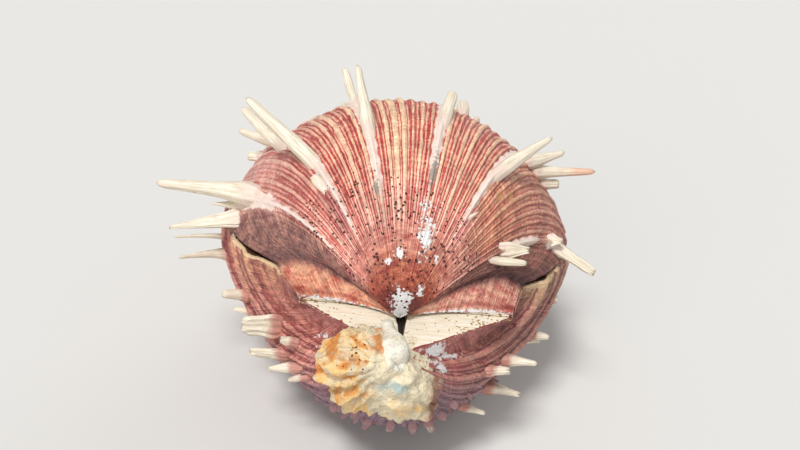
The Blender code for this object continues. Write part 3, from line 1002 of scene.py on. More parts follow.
@dataclass(frozen=True)
class ReefCrust:
    """Reef crust: lime laid down by worms, sponges and coralline algae, chalky and crumbling.

    The eye sees cream lumps stained ochre and orange, small brown pores and a bluish bare band.
    """

    name: str = "ochre and cream reef crust"
    cream: str = "#ebdcbc"
    ochre: str = "#e8bc74"
    orange: str = "#c67a34"
    rosy: str = "#a8705c"
    bluish: str = "#a9bbb6"
    lime: str = "#e9e2d3"
    pore_colour: str = "#7a4520"
    pore_cell: float = 1.3
    lump: float = 3.6
    grain: float = 0.6
    stain_strength: float = 0.92
    roughness: float = 0.85
    relief: float = 0.4

    def material(self) -> bpy.types.Material:
        """Builds the material. Ochre, grime, pale, chalk and cream hold where each stain lies.

        Returns:
            The material.
        """
        paint = Paint(self.name)
        stains = {
            "ochre": self.ochre,
            "grime": self.orange,
            "pale": self.bluish,
            "chalk": self.rosy,
            "cream": self.lime,
        }
        where = paint.add("TexCoord", {}, "Object")
        lumps, grain = (
            paint.add("TexNoise", {"Vector": where, "Scale": 1 / (size * MM), "Detail": detail})
            for size, detail in ((self.lump, 6.0), (self.grain, 4.0))
        )
        sides = {"From Min": 0.25, "From Max": 0.75, "To Min": -0.7, "To Max": 0.7}
        ragged = paint.add("MapRange", {"Value": lumps} | sides)
        colour = linear(self.cream)
        for name, shade in stains.items():
            mask = paint.add("Attribute", {}, "Fac", attribute_name=name)
            rise = (0.2, 0.9, self.stain_strength)
            colour, _ = paint.stain(colour, shade, mask, ragged, rise, start=(0.0, 0.2))
        bored = paint.add("Attribute", {}, "Fac", attribute_name="bored")
        reach = paint.add("MapRange", {"Value": bored, "To Min": 0.06, "To Max": 0.30})
        pore = paint.pits(where, self.pore_cell, reach, soft=0.08)
        colour = paint.add("Mix", {0: pore, 6: colour, 7: linear(self.pore_colour)}, **RGBA)
        levels = []
        for pattern, low, high in ((grain, 0.80, 1.08), (lumps, 0.78, 1.08)):
            limits = {"From Min": 0.3, "From Max": 0.65, "To Min": low, "To Max": high}
            levels.append(paint.add("MapRange", {"Value": pattern} | limits))
        colour = paint.dapple(colour, levels)
        height = paint.add("Math", {0: pore, 1: -1.5, 2: grain}, operation="MULTIPLY_ADD")
        return paint.finish(colour, self.roughness, height, self.relief)


@dataclass
class Valve:
    """One valve: its ribbed skin, hinge plate, rim and hollow, and the spines that it grew."""

    node: str
    spiral: GrowthSpiral
    ribs: Ribs
    skin: RibbedCalcite
    zones: tuple[ColourZone, ...]
    spines: tuple[Spine, ...]
    chalk: tuple[Patch, ...] = ()
    grime: tuple[Patch, ...] = ()
    ochre: tuple[Patch, ...] = ()
    pale_ribs: tuple[PaleRib, ...] = ()
    # Half widths of the cream bands, crest by crest, or their mean and spread where none are given
    bands: tuple[float, ...] = ()
    band_share: float = 0.85
    band: float = 0.20
    band_spread: float = 0.08
    # How far the zones of colour stray, in places and in turns
    stray: tuple[float, float] = (0.012, 6.0)
    flank: float = 0.62
    per_rib: int = 10
    rows: int = 150
    rib_height: float = 1.7
    riblet_height: float = 1.0
    # How uneven the ribs are, and how high the thread between two riblets stands
    uneven: float = 0.25
    thread_height: float = 0.25
    growth_relief: float = 0.10
    # How strongly growth lines show on the dome, how much more on the flanks and less on the ears
    least_growth: float = 0.35
    flank_growth: float = 1.2
    ear_growth: float = 0.8
    # Coarse and fine growth lines, in radians to a millimetre
    coarse_pace: float = 0.41
    fine_pace: float = 1.15
    # Unevenness of the growth lines' course, of the whole skin, of its flanks and of worn ribs: how
    # strong each is and how large its bumps are, in millimetres
    waver: tuple[float, float] = (0.8, 9.0)
    grain: tuple[float, float] = (0.12, 4.0)
    flank_bumps: tuple[float, float] = (0.35, 8.0)
    worn_bumps: tuple[float, float] = (0.35, 2.2)
    # How far the skin drops to the margin, over the last degrees
    margin_drop: float = 0.9
    margin_turn: float = 1.6
    # How far the valves gape beside the ears and at the ears' ends, and how fast that fades
    slit_gap: float = 0.42
    ear_gap: float = 0.5
    gap_fade: float = 5.0
    # Rings of the rim and hollow, as shares of the way out from its middle, and where the rim ends
    rings: tuple[float, ...] = (1.0, 0.985, 0.94, 0.88, 0.84, 0.76, 0.62, 0.42, 0.2, 0.0)
    rim_end: float = 0.94
    # Columns of the hinge plate, and how much they crowd in its middle
    plate_columns: int = 57
    plate_crowding: float = 1.6
    hollow_depth: float = 30.0
    hollow_y: float = 47.0
    # How far the skin's colour climbs a spine, and the length below which a spine has few faces
    skin_climb: float = 0.0
    small_spine: float = 3.5

    def ribbing(self, place: np.ndarray, turn: np.ndarray) -> np.ndarray:
        """How strongly the riblets stand out at each place, from 0 to 1."""
        return 1 - ease((np.abs(place) - self.ribs.edge + 0.05) / 0.05)

    def growing(self, place: np.ndarray) -> np.ndarray:
        """How strongly the growth lines show: little on the dome and ears, much on the flanks.

        Args:
            place: Places along the outline.

        Returns:
            Values of about 0.35 to 1.5.
        """
        reach = np.abs(place)
        flank = ease((reach - self.flank + 0.04) / 0.08)
        ear = ease((reach - self.ribs.edge) / 0.03)
        return self.least_growth + self.flank_growth * flank - self.ear_growth * ear

    def relief(self, place: np.ndarray, turn: np.ndarray) -> np.ndarray:
        """Height of the skin over the smooth growth surface.

        Args:
            place: Places along the outline.
            turn: Turn of each, in degrees.

        Returns:
            Heights in millimetres.
        """
        phase = self.ribs.phase(place)
        crest = np.rint(phase)
        off = np.abs(phase - crest)
        strong = np.isin(crest, self.ribs.strong_phases())
        uneven = 1 + self.uneven * np.sin(crest * 2.4)
        round_top = np.cos(np.pi * off) ** 2 + self.thread_height * hill(off, 0.5, 0.08)
        height = self.riblet_height * uneven * round_top * self.ribbing(place, turn)
        swell = (self.rib_height - self.riblet_height) * hill(off, 0.0, 0.34)
        height = height + np.where(strong, swell, 0.0)
        height *= self.spiral.size(turn) ** 0.8
        smooth = self.spiral.points(place, turn)
        growing = self.growing(place)
        age = self.spiral.age(turn) + self.waver[0] * rough(smooth, self.waver[1], 3.0)
        lines = np.abs(np.sin(age * self.fine_pace)) ** 0.6
        lines += 0.6 * np.abs(np.sin(age * self.coarse_pace + 1.0))
        height += self.growth_relief * lines * (0.6 + 0.5 * growing)
        height += self.grain[0] * rough(smooth, self.grain[1], 7.0)
        on_flank = growing - self.least_growth
        height += self.flank_bumps[0] * on_flank * rough(smooth, self.flank_bumps[1], 5.0)
        worn = self.worn_bumps[0] * (1 + rough(smooth, self.worn_bumps[1], 8.0))
        for rib in self.pale_ribs:
            height += worn * rib.cover(phase, turn)
        return height - self.margin_drop * ease(1 - turn / self.margin_turn)

    def opening(self, place: np.ndarray, turn: np.ndarray) -> np.ndarray:
        """How far the valve stands off the commissure plane beside and at its ears.

        Args:
            place: Places along the outline.
            turn: Turn of each, in degrees.

        Returns:
            Distances in millimetres.
        """
        reach = np.abs(place)
        gap = self.slit_gap * hill(reach, 0.79, 0.06) + self.ear_gap * hill(reach, 0.985, 0.03)
        return gap * np.exp(-turn / self.gap_fade)

    def skin_points(self, place: np.ndarray, turn: np.ndarray) -> np.ndarray:
        """Points of the outside.

        Args:
            place: Places along the outline.
            turn: Turn of each, in degrees.

        Returns:
            Points in millimetres from the middle of the hinge line.
        """
        outward = self.spiral.directions(place, turn)[2]
        points = self.spiral.points(place, turn) + outward * self.relief(place, turn)[:, None]
        points[:, 2] += self.spiral.side * self.opening(place, turn)
        return points

    def plate_points(self, across: np.ndarray, turn: np.ndarray) -> np.ndarray:
        """Points of the hinge plate, from its left edge at 0 to its right edge at 1."""
        left, right = (self.skin_points(np.full_like(turn, end), turn) for end in (-1.0, 1.0))
        return left + (right - left) * across[:, None]

    def masks(self, place: np.ndarray, turn: np.ndarray) -> dict[str, np.ndarray]:
        """Values of every layer that the skin's finish reads.

        Args:
            place: Places along the outline.
            turn: Turn of each, in degrees.

        Returns:
            Layer name, and a value for each point.
        """
        phase, crest = self.ribs.phase(place), np.rint(self.ribs.phase(place))
        zero = np.zeros_like(place)
        made = {"phase": phase, "age": self.spiral.age(turn)}
        band = self.band + self.band_spread * np.sin(crest * 3.7 + 1.1)
        if self.bands:
            known = np.array(self.bands)
            band = self.band_share * known[np.clip(crest, 0, len(known) - 1).astype(int)]
        made["band"] = band
        made["cream"] = np.clip(0.35 + 3.0 * band, 0.0, 1.0)
        made["ribbing"] = self.ribbing(place, turn)
        made["growth"] = 0.5 + 0.65 * self.growing(place)
        made["pale"] = sum((p.cover(phase, turn) for p in self.pale_ribs), zero)
        for name, patches in (("chalk", self.chalk), ("grime", self.grime), ("ochre", self.ochre)):
            made[name] = sum((p.cover(place, turn) for p in patches), zero)
        made["bored"] = zero
        stray = rough(self.spiral.points(place, turn), 8.0, 11.0)
        place, turn = place + self.stray[0] * stray, turn + self.stray[1] * stray
        weight = np.full_like(place, 1e-4)
        crests, grooves = np.zeros((2, len(place), 4))
        for zone in self.zones:
            near = hill(place, zone.place, zone.reach) * hill(turn, zone.turn, zone.span) + 1e-6
            weight += near
            crests += near[:, None] * np.array(linear(zone.crest))
            grooves += near[:, None] * np.array(linear(zone.groove))
        made["crest"], made["groove"] = crests / weight[:, None], grooves / weight[:, None]
        return made

    def plate_marks(
        self, points: np.ndarray, across: np.ndarray, turn: np.ndarray
    ) -> dict[str, np.ndarray]:
        """Where the hinge plate is pitted, and where the skin's edge laps it.

        Args:
            points: Points of the plate.
            across: Part of the way across the plate, from 0 to 1.
            turn: Turn of each, in degrees.

        Returns:
            Layer name, and a value for each point.
        """
        left, right = (self.plate_points(np.full_like(turn, end), turn) for end in (0.0, 1.0))
        width = np.linalg.norm(right - left, axis=1)
        from_edge = np.minimum(across, 1 - across) * width
        x = points[:, 0]
        # More pits on both sides of the ligament, and most along the edges
        pitted = 0.3 + 0.3 * ease((x - 6.0) / 16.0) + 0.25 * ease((-x - 8.0) / 10.0)
        pitted += 0.4 * ease(1 - from_edge / 2.5)
        return {"ochre": pitted, "grime": 1.2 - from_edge / 1.3}

    def build_shell(
        self, plate: bpy.types.Material, lining: bpy.types.Material
    ) -> bpy.types.Object:
        """Makes the valve without its spines: skin, hinge plate, rim and hollow, all closed.

        Args:
            plate: Material of the hinge plate.
            lining: Material of the rim and hollow.

        Returns:
            The valve's object.
        """
        shell = ShellMesh()
        _, ages = self.spiral.lengths()
        turns = self.spiral.turn_at(np.linspace(0, ages[-1], self.rows))
        places = self.ribs.columns(self.per_rib)
        # The skin
        sheet = shell.lay(len(places), len(turns))
        place, turn = places[sheet.column], turns[sheet.row]
        shell.place(sheet, self.skin_points(place, turn), self.masks(place, turn))

        # The hinge plate, with two more columns along each edge, where the skin laps it
        evenly = np.linspace(-1, 1, self.plate_columns)
        across = (np.sign(evenly) * np.abs(evenly) ** self.plate_crowding + 1) / 2
        across = np.sort(np.concatenate((across, (0.007, 0.016, 0.984, 0.993))))
        sheet = shell.lay(len(across), len(turns), slot=1)
        where, turn = across[sheet.column], turns[sheet.row]
        points = self.plate_points(where, turn)
        shell.place(sheet, points, self.plate_marks(points, where, turn))

        # The rim, and the hollow behind it
        zero, hinge = np.zeros_like(places), np.zeros(len(across))
        margin = self.skin_points(places, zero)
        loop = np.concatenate((margin, self.plate_points(across[::-1], hinge)[1:]))
        depths = np.array(self.rings)
        sheet = shell.lay(len(loop), len(depths), slot=2)
        depth = depths[sheet.row][:, None]
        centre = np.array((0.0, self.hollow_y, 0.0))
        rim = loop[sheet.column]
        inner = centre + (rim - centre) * depth
        bowl = self.hollow_depth * (1 - np.clip(depths[sheet.row] / self.rim_end, 0, 1) ** 2.6)
        bowl *= ease((inner[:, 1] - 8.0) / 32.0)
        inner[:, 2] = rim[:, 2] * np.minimum(depth[:, 0] / 0.88, 1) + self.spiral.side * bowl
        shell.place(sheet, inner, {"ochre": ease((depths[sheet.row] - 0.86) / 0.08)})
        made = shell.finish(self.node + "_shell", [self.skin.material(), plate, lining])
        return stand_for(made, self.node)

    def spine_points(self, spine: Spine, around: np.ndarray, along: np.ndarray) -> np.ndarray:
        """Points of one spine.

        Args:
            spine: The spine.
            around: Part of the way round the spine, from 0 to 1.
            along: Part of the way from its root in the rib to its tip, from 0 to 1.

        Returns:
            A point for each pair.
        """
        # The spine's root, its knee at the skin and its tip
        place, turn = np.array([spine.place]), np.array([spine.turn])
        base = self.spiral.points(place, turn)
        growth, beside, outward = self.spiral.directions(place, turn)
        lean, side = math.radians(spine.lean), math.radians(spine.side)
        axis = (outward * math.cos(lean) + growth * math.sin(lean)) * math.cos(side)
        axis = axis + beside * math.sin(side)
        root_turn = self.spiral.turn_at(self.spiral.age(turn) + spine.root)
        start = self.spiral.points(place, root_turn)
        start = start - self.spiral.directions(place, root_turn)[2] * 0.3 * spine.width
        knee = base + outward * 0.1 * spine.width
        tip = base + axis * spine.length

        # The way from the root round the knee to the tip, and the directions square to it
        step = along[:, None]
        path = start * (1 - step) ** 2 + knee * 2 * step * (1 - step) + tip * step**2
        ahead = unit((knee - start) * (1 - step) + (tip - knee) * step)
        across = unit(beside - ahead * np.sum(beside * ahead, -1, keepdims=True))
        upper = np.cross(across, ahead) * self.spiral.side
        path = path + across * spine.bend * np.sin(np.pi * along)[:, None]

        # Half widths from the root to the tip
        joint = spine.root / (spine.root + spine.length)
        stations = (0.0, 0.03, 0.6 * joint, joint, 0.88, 0.95, 0.985, 1.0)
        blunt = tuple(share * spine.tip for share in (1.06, 0.92, 0.62, 0.0))
        widths = (0.0, 0.45, 0.98, 1.05, *blunt)
        half = spine.width / 2 * np.interp(along, stations, widths)

        # The ridged section with its gutter, and the torn tip
        form = spine.form
        angle = 2 * np.pi * around
        x, y = np.cos(angle), np.sin(angle)
        streaks = np.cos(9 * angle + 5 * spine.place) + 0.6 * np.cos(17 * angle + spine.turn)
        swell = 1 + form.ridges * streaks + 0.06 * np.sin(11 * along + 7 * spine.turn)
        roof = spine.flatness * np.sqrt(np.clip(1 - x * x, 0, 1))
        channel = form.gutter * ease((along - 1.1 * joint) / 0.5) * ease((0.8 - np.abs(x)) / 0.45)
        floor = -roof + channel * (roof * 0.5 + roof)
        depth = np.where(y > 0, roof, floor) + form.cup * x * x
        notch = np.sin(5 * angle + 3 * spine.length) + 0.6 * np.sin(9 * angle + spine.turn)
        torn = form.broken * notch * ease((along - 0.75) / 0.22)
        return (
            path
            + across * (half * x * swell)[:, None]
            + upper * (half * depth * swell)[:, None]
            + ahead * (torn * 0.5 * (along < 1))[:, None]
        )

    def scales(self) -> tuple[Spine, ...]:
        """Small scales that repeat along the ribs, none unless a valve says so."""
        return ()

    def build_spines(self, finish: bpy.types.Material) -> bpy.types.Object:
        """Makes all the spines of the valve as closed shapes with their roots in the ribs.

        Args:
            finish: Material of the spines.

        Returns:
            The spines' object.
        """
        shell = ShellMesh()
        for spine in self.spines + self.scales():
            small = spine.length < self.small_spine
            sides, rings = (14, 10) if small else (36, 14 + round(1.6 * spine.length))
            sheet = shell.lay(sides + 1, rings + 1)
            around, along = sheet.column / sides, sheet.row / rings
            reach = spine.root + spine.length
            grown = along * reach - spine.root
            climbed = grown + 0.3 * spine.root - self.skin_climb
            near_root = 1 - ease(climbed / (0.33 * spine.length + 2.0))
            values = {
                "phase": around + spine.turn,
                "age": grown + 10 * spine.place,
                "pale": near_root,
                "ochre": spine.blush * ease((along - 0.55) / 0.4),
                "grime": np.full_like(along, spine.stain),
            }
            shell.place(sheet, self.spine_points(spine, around, along), values)
        return stand_for(shell.finish(self.node + "_spines", [finish]), self.node)


@dataclass
class UpperValve(Valve):
    """The shallower valve, bored by sponges over its older half."""

    # Places across the valve, and the turn past which sponges bored it at each
    bored_places: tuple[float, ...] = (-0.75, -0.62, -0.30, -0.05, 0.10, 0.38, 0.67, 0.76)
    bored_turns: tuple[float, ...] = (66.0, 42.0, 55.0, 60.0, 63.0, 62.0, 56.0, 66.0)
    # Turn past which the shell is the young one's, and how much lower its riblets are worn
    young_turn: float = 71.0
    worn_share: float = 0.55
    # Where riblets fade: side, place, width of the fade, and the share of their height that is lost
    fades: tuple[tuple[int, float, float, float], ...] = (
        (-1, 0.63, 0.05, 0.70),
        (1, 0.38, 0.04, 0.25),
        (1, 0.69, 0.05, 0.45),
    )

    def ribbing(self, place: np.ndarray, turn: np.ndarray) -> np.ndarray:
        """Riblets fade beyond the outer strong ribs and on the young shell.

        Args:
            place: Places along the outline.
            turn: Turn of each, in degrees.

        Returns:
            Values from 0 to 1.
        """
        lost = sum(loss * ease((s * place - start) / width) for s, start, width, loss in self.fades)
        young = 1 - self.worn_share * ease((turn - self.young_turn) / 9.0)
        late = 1 - ease((turn - 24.0) / 12.0)
        smooth = 1 - self.worn_share * ease((-place - 0.44) / 0.05) * late
        return super().ribbing(place, turn) * (1 - lost) * young * smooth

    def masks(self, place: np.ndarray, turn: np.ndarray) -> dict[str, np.ndarray]:
        """Adds the borings, and the worn edges of the ears.

        Args:
            place: Places along the outline.
            turn: Turn of each, in degrees.

        Returns:
            Layer name, and a value for each point.
        """
        made = super().masks(place, turn)
        start = np.interp(place, self.bored_places, self.bored_turns)
        crowd = 0.85 + 0.15 * np.sin(11 * place + 0.3 * turn)
        made["bored"] = crowd * ease((turn - start + 3) / 6) * (np.abs(place) < 0.78)
        made["cream"] = made["cream"] * (1 - 0.4 * ease((turn - self.young_turn) / 7))
        worn_edge = ease((np.abs(place) - 0.978) / 0.015)
        made["chalk"] = made["chalk"] + 0.55 * worn_edge
        return made


@dataclass
class LowerValve(Valve):
    """The deeper valve, with its cardinal area and the pit of the ligament."""

    pit_x: float = 0.7
    pit_mouth_y: float = -1.0
    pit_tip_y: float = -11.3
    pit_half_width: float = 1.5
    pit_tip_scale: float = 0.15
    pit_depth: float = 2.2
    floor_depth: float = 48.6
    # Small scales: ribs that bear them, scales to a rib, the first one's turn and the next ones' step
    scale_ribs: tuple[int, int] = (3, 22)
    scale_count: int = 9
    scale_turn: float = 96.0
    scale_step: float = 8.2
    scale_clearance: float = 3.0

    def ribbing(self, place: np.ndarray, turn: np.ndarray) -> np.ndarray:
        """Riblets are low near the beak, where the skin is worn."""
        return super().ribbing(place, turn) * (1 - 0.5 * ease((turn - 70) / 30))

    def skin_points(self, place: np.ndarray, turn: np.ndarray) -> np.ndarray:
        """Points of the outside, worn flat where the shell rests."""
        return self.worn_flat(super().skin_points(place, turn))

    def spine_points(self, spine: Spine, around: np.ndarray, along: np.ndarray) -> np.ndarray:
        """Points of one spine, worn flat if the shell stands on it."""
        return self.worn_flat(super().spine_points(spine, around, along))

    def worn_flat(self, points: np.ndarray) -> np.ndarray:
        """Lifts points that lie under the plane that the shell rests on up to it."""
        points[:, 2] = np.maximum(points[:, 2], -self.floor_depth)
        return points

    def plate_points(self, across: np.ndarray, turn: np.ndarray) -> np.ndarray:
        """Sinks the pit of the ligament in the hinge plate.

        Args:
            across: Part of the way across the plate, from 0 to 1.
            turn: Turn of each, in degrees.

        Returns:
            Points in millimetres from the middle of the hinge line.
        """
        points = super().plate_points(across, turn)
        x, y = points[:, 0], points[:, 1]
        part = np.clip((self.pit_mouth_y - y) / (self.pit_mouth_y - self.pit_tip_y), 0, 1)
        half = self.pit_half_width * (1 + (self.pit_tip_scale - 1) * part)
        inside = ease((half - np.abs(x - self.pit_x)) / 0.35 + 0.5)
        inside *= ease((self.pit_mouth_y - y) / 0.3 + 0.5) * ease((y - self.pit_tip_y) / 0.6)
        points[:, 2] -= self.pit_depth * inside
        return points

    def scales(self) -> tuple[Spine, ...]:
        """Ragged scales along the ribs, more of them towards the beak.

        Returns:
            The scales.
        """
        made = []
        for phase in range(*self.scale_ribs):
            for step in range(self.scale_count):
                wobble = math.sin(12.9 * phase + 78.2 * step)
                turn = self.scale_turn - self.scale_step * step + 3.0 * wobble - 2.0 * (phase % 2)
                place = float(np.interp(phase + 0.2 * wobble, *self.ribs.stops()[::-1]))
                length = 1.5 + 0.9 * math.sin(7.1 * phase + 3.3 * step) + 0.3 * wobble
                base = self.spiral.points(np.array([place]), np.array([turn]))[0]
                low = base[2] < self.scale_clearance - self.floor_depth
                if low or turn < 30 or length < 1.0 or turn > 84 and phase > 7:
                    continue
                size = 1.3 + 0.4 * wobble
                scale = Spine(place, turn, length, 34, 9 * wobble, size, 0.6, 0.55, SpineForm.SCALE)
                made.append(replace(scale, root=2.0, stain=1.2))
        return tuple(made)


@dataclass
class HingeLigament:
    """The dried ligament, a wedge of torn fibres in its pit."""

    name: str = "hinge_ligament"
    finish: DriedLigament = DriedLigament()
    cuts: int = 14
    # Width at its tip, as a share of the mouth's, and how deep the fibres' tears go
    tip_width: float = 0.25
    tear: float = 0.12

    def build(self) -> bpy.types.Object:
        """Makes the wedge inside the box of its node.

        Returns:
            The ligament's object.
        """
        low, high = (np.array(corner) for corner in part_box(self.name))
        bm = bmesh.new()
        bmesh.ops.create_cube(bm, size=1.0)
        bmesh.ops.subdivide_edges(bm, edges=bm.edges, cuts=self.cuts, use_grid_fill=True)
        for vert in bm.verts:
            part = np.array(vert.co) + 0.5
            narrow = self.tip_width + (1 - self.tip_width) * part[1]
            part[0] = 0.5 + (part[0] - 0.5) * narrow
            along_fibres = Vector((9 * part[0], 2 * part[1], 3 * part[2]))
            sink = self.tear * (1 + noise.noise(along_fibres))
            part[2] = part[2] * (1 - sink) * 0.86 + 0.02 + self.tear * (part[1] - 0.5)
            vert.co = low + (high - low) * np.clip(part, 0.01, 0.99)
        bmesh.ops.recalc_face_normals(bm, faces=bm.faces)
        made = to_object(bm, self.name + "_fibres", [self.finish.material()])
        return stand_for(made, self.name)


@dataclass
class AttachmentCrust:
    """The lump of reef crust on the lower beak, with a worm's white tube over it."""

    name: str = "attachment_crust"
    finish: ReefCrust = ReefCrust()
    centre: tuple[float, float, float] = (-4.0, -15.5, -9.5)
    half_depth: float = 8.2
    fullness: float = 0.6
    bluntness: float = 0.75
    slope: float = 0.25
    # Reach of the lump from its centre at angles round from +X, seen from the hinge side
    angles: tuple[float, ...] = (0, 30, 60, 90, 125, 150, 172, 195, 215, 240, 265, 290, 312, 335, 360)
    reaches: tuple[float, ...] = (
        13.0, 11.0, 11.0, 11.5, 13.5, 16.0, 16.5, 13.5, 12.5, 14.0, 12.0, 15.0, 19.5, 16.0, 13.0
    )
    # Height and size in millimetres of the lumps and crumbs, and their seeds
    lumps: tuple[tuple[float, float, float], ...] = ((1.3, 5.0, 1.0), (0.8, 2.4, 5.0), (0.35, 1.1, 9.0))
    # How far the lump is drawn in, in millimetres, to make room for its lumps
    shrink: float = 0.9
    tube_path: tuple[tuple[float, float, float], ...] = (
        (-3.2, -6.8, 0.2),
        (-2.8, -11.0, 0.8),
        (-1.2, -16.5, 0.4),
        (0.2, -20.6, -3.2),
    )
    # Half widths of the tube at its mouth and where it swells
    tube_radius: float = 1.5
    tube_swell: float = 3.1
    flute_count: float = 22.0

    def lump_points(self, sphere: np.ndarray) -> np.ndarray:
        """Points of the lump.

        Args:
            sphere: Points of a unit sphere.

        Returns:
            Points in millimetres from the middle of the hinge line.
        """
        # The outline seen from the hinge side, with teeth along its lower rim
        x, y, z = sphere.T
        flat = np.hypot(x, z)
        angle = np.degrees(np.arctan2(z, x)) % 360
        reach = np.interp(angle, self.angles, self.reaches) * flat**self.fullness
        teeth = np.abs(np.sin(np.radians(angle) * 6.5)) ** 1.5 * ease((angle - 150) / 40)
        reach = reach * (1 - 0.06 * flat + 0.17 * teeth * flat**3)
        out = reach / np.maximum(flat, 1e-6)
        depth = np.copysign(np.abs(y) ** self.bluntness, y) * self.half_depth
        depth = depth + self.slope * np.clip(-z * out, 0, None)
        points = np.stack((x * out, depth, z * out), -1) + np.array(self.centre)
        # Lumps and crumbs all over, then crags and flutes
        lumps = sum(high * rough(points, size, seed) for high, size, seed in self.lumps)
        crags = 0.7 * (1 - 2 * np.abs(rough(points, 3.2, 13.0)))
        low = ease((self.centre[2] + 6.0 - points[:, 2]) / 6.0)
        ridges = (0.45 + 0.5 * low) * (self.flutes(points) - 0.5)
        return points + sphere * (lumps + crags + ridges - self.shrink)[:, None]

    def stains(self, points: np.ndarray) -> dict[str, np.ndarray]:
        """Where the crust is ochre, orange, bluish, rosy, bored and lime white.

        Args:
            points: Points of the lump.

        Returns:
            Layer name, and a value for each point.
        """
        # Stains are placed in millimetres from the middle of the lump
        x, y, z = (points - np.array(self.centre)).T
        left = ease((1.0 - x - 0.25 * z) / 6.0)
        valley = 0.5 - 0.5 * self.flutes(points)
        tube = ease((2.6 - np.abs(x - 2.6 - 0.25 * (11.0 - z))) / 1.2) * ease((z - 5.0) / 2.0)
        front = ease((-y - 1.0) / 4.0)
        return {
            "ochre": 0.66 * left * (1 - tube) + 0.55 * hill(np.hypot(x - 8, z + 7), 0, 6.0),
            "grime": (0.05 + 0.85 * valley) * left * (1 - tube) * ease((z + 9) / 6)
            + 1.0 * hill(np.hypot(x + 1.2, z - 11.0), 0, 1.6),
            "pale": 0.95 * hill(np.hypot((x - 3.5) / 3.2, z - 1.2), 0, 1.5) * front,
            "chalk": 0.85 * ease((x - 11.5) / 3.0),
            "bored": 0.9 * hill(np.hypot(x + 6.5, z - 9.0), 0, 4.5),
            "cream": 1.0 * tube,
        }

    def flutes(self, points: np.ndarray) -> np.ndarray:
        """Ridges that fan out over the left of the lump.

        Args:
            points: Points of the lump.

        Returns:
            Values from -1 in a valley to 1 on a ridge.
        """
        x, _, z = (points - np.array(self.centre)).T
        angle = np.arctan2(z - 9.0, x - 3.0) + 0.12 * rough(points, 5.0, 4.0)
        fine = 0.4 * np.cos(2.3 * self.flute_count * angle + 1.0)
        return (np.cos(self.flute_count * angle) + fine) * ease((1.5 - x) / 6.0)

    def build(self, bed: bpy.types.Object) -> bpy.types.Object:
        """Makes the crust, pressed against the skin of the valve that carries it.

        Args:
            bed: The lower valve.

        Returns:
            The crust's object.
        """
        shell = ShellMesh()
        bmesh.ops.create_icosphere(shell.bm, subdivisions=6, radius=1.0)
        verts = list(shell.bm.verts)
        for face in shell.bm.faces:
            face.smooth = True
        points = self.lump_points(np.array([vert.co[:] for vert in verts]))
        tree = BVHTree.FromObject(bed, bpy.context.evaluated_depsgraph_get())
        lift = 0.15 * MM
        for index, point in enumerate(points):
            spot = Vector((point + HINGE_SEAT) * MM)
            near, normal, _, _ = tree.find_nearest(spot)
            if (spot - near).dot(normal) < lift:
                points[index] = np.array(near + normal * lift) / MM - HINGE_SEAT
        whole = Sheet(verts, np.zeros(len(verts)), np.zeros(len(verts)))
        shell.place(whole, points, self.stains(points))

        rings, sides = 40, 24
        sheet = shell.lay(sides + 1, rings + 1)
        around, along = 2 * np.pi * sheet.column / sides, sheet.row / rings
        shell.place(sheet, self.tube_points(around, along), {"cream": np.ones(len(along))})
        made = shell.finish(self.name + "_lump", [self.finish.material()])
        return stand_for(made, self.name)

    def tube_points(self, around: np.ndarray, along: np.ndarray) -> np.ndarray:
        """Points of the worm's tube, which bends over the crust.

        Args:
            around: Angles round the tube.
            along: Part of the way along it, from 0 to 1.

        Returns:
            Points in millimetres from the middle of the hinge line.
        """
        path = np.array(self.tube_path)
        stations = np.linspace(0, 1, len(path))
        middle = np.stack([np.interp(along, stations, path[:, i]) for i in range(3)], -1)
        ahead = unit(path[-1] - path[0])
        across = unit(np.cross(ahead, (0.0, 0.0, 1.0)))
        over = np.cross(across, ahead)
        radius = self.tube_radius + (self.tube_swell - self.tube_radius) * ease((along - 0.3) / 0.4)
        radius *= np.sqrt(np.clip(1 - (2 * along - 1) ** 6, 0, 1))
        radius *= 1 + 0.12 * np.sin(9 * along) + 0.06 * np.cos(3 * around)
        sideways = across * (radius * np.cos(around))[:, None]
        points = middle + sideways + over * (radius * np.sin(around))[:, None]
        return points + unit(sideways + 1e-9) * (0.25 * rough(points, 1.6, 2.0))[:, None]


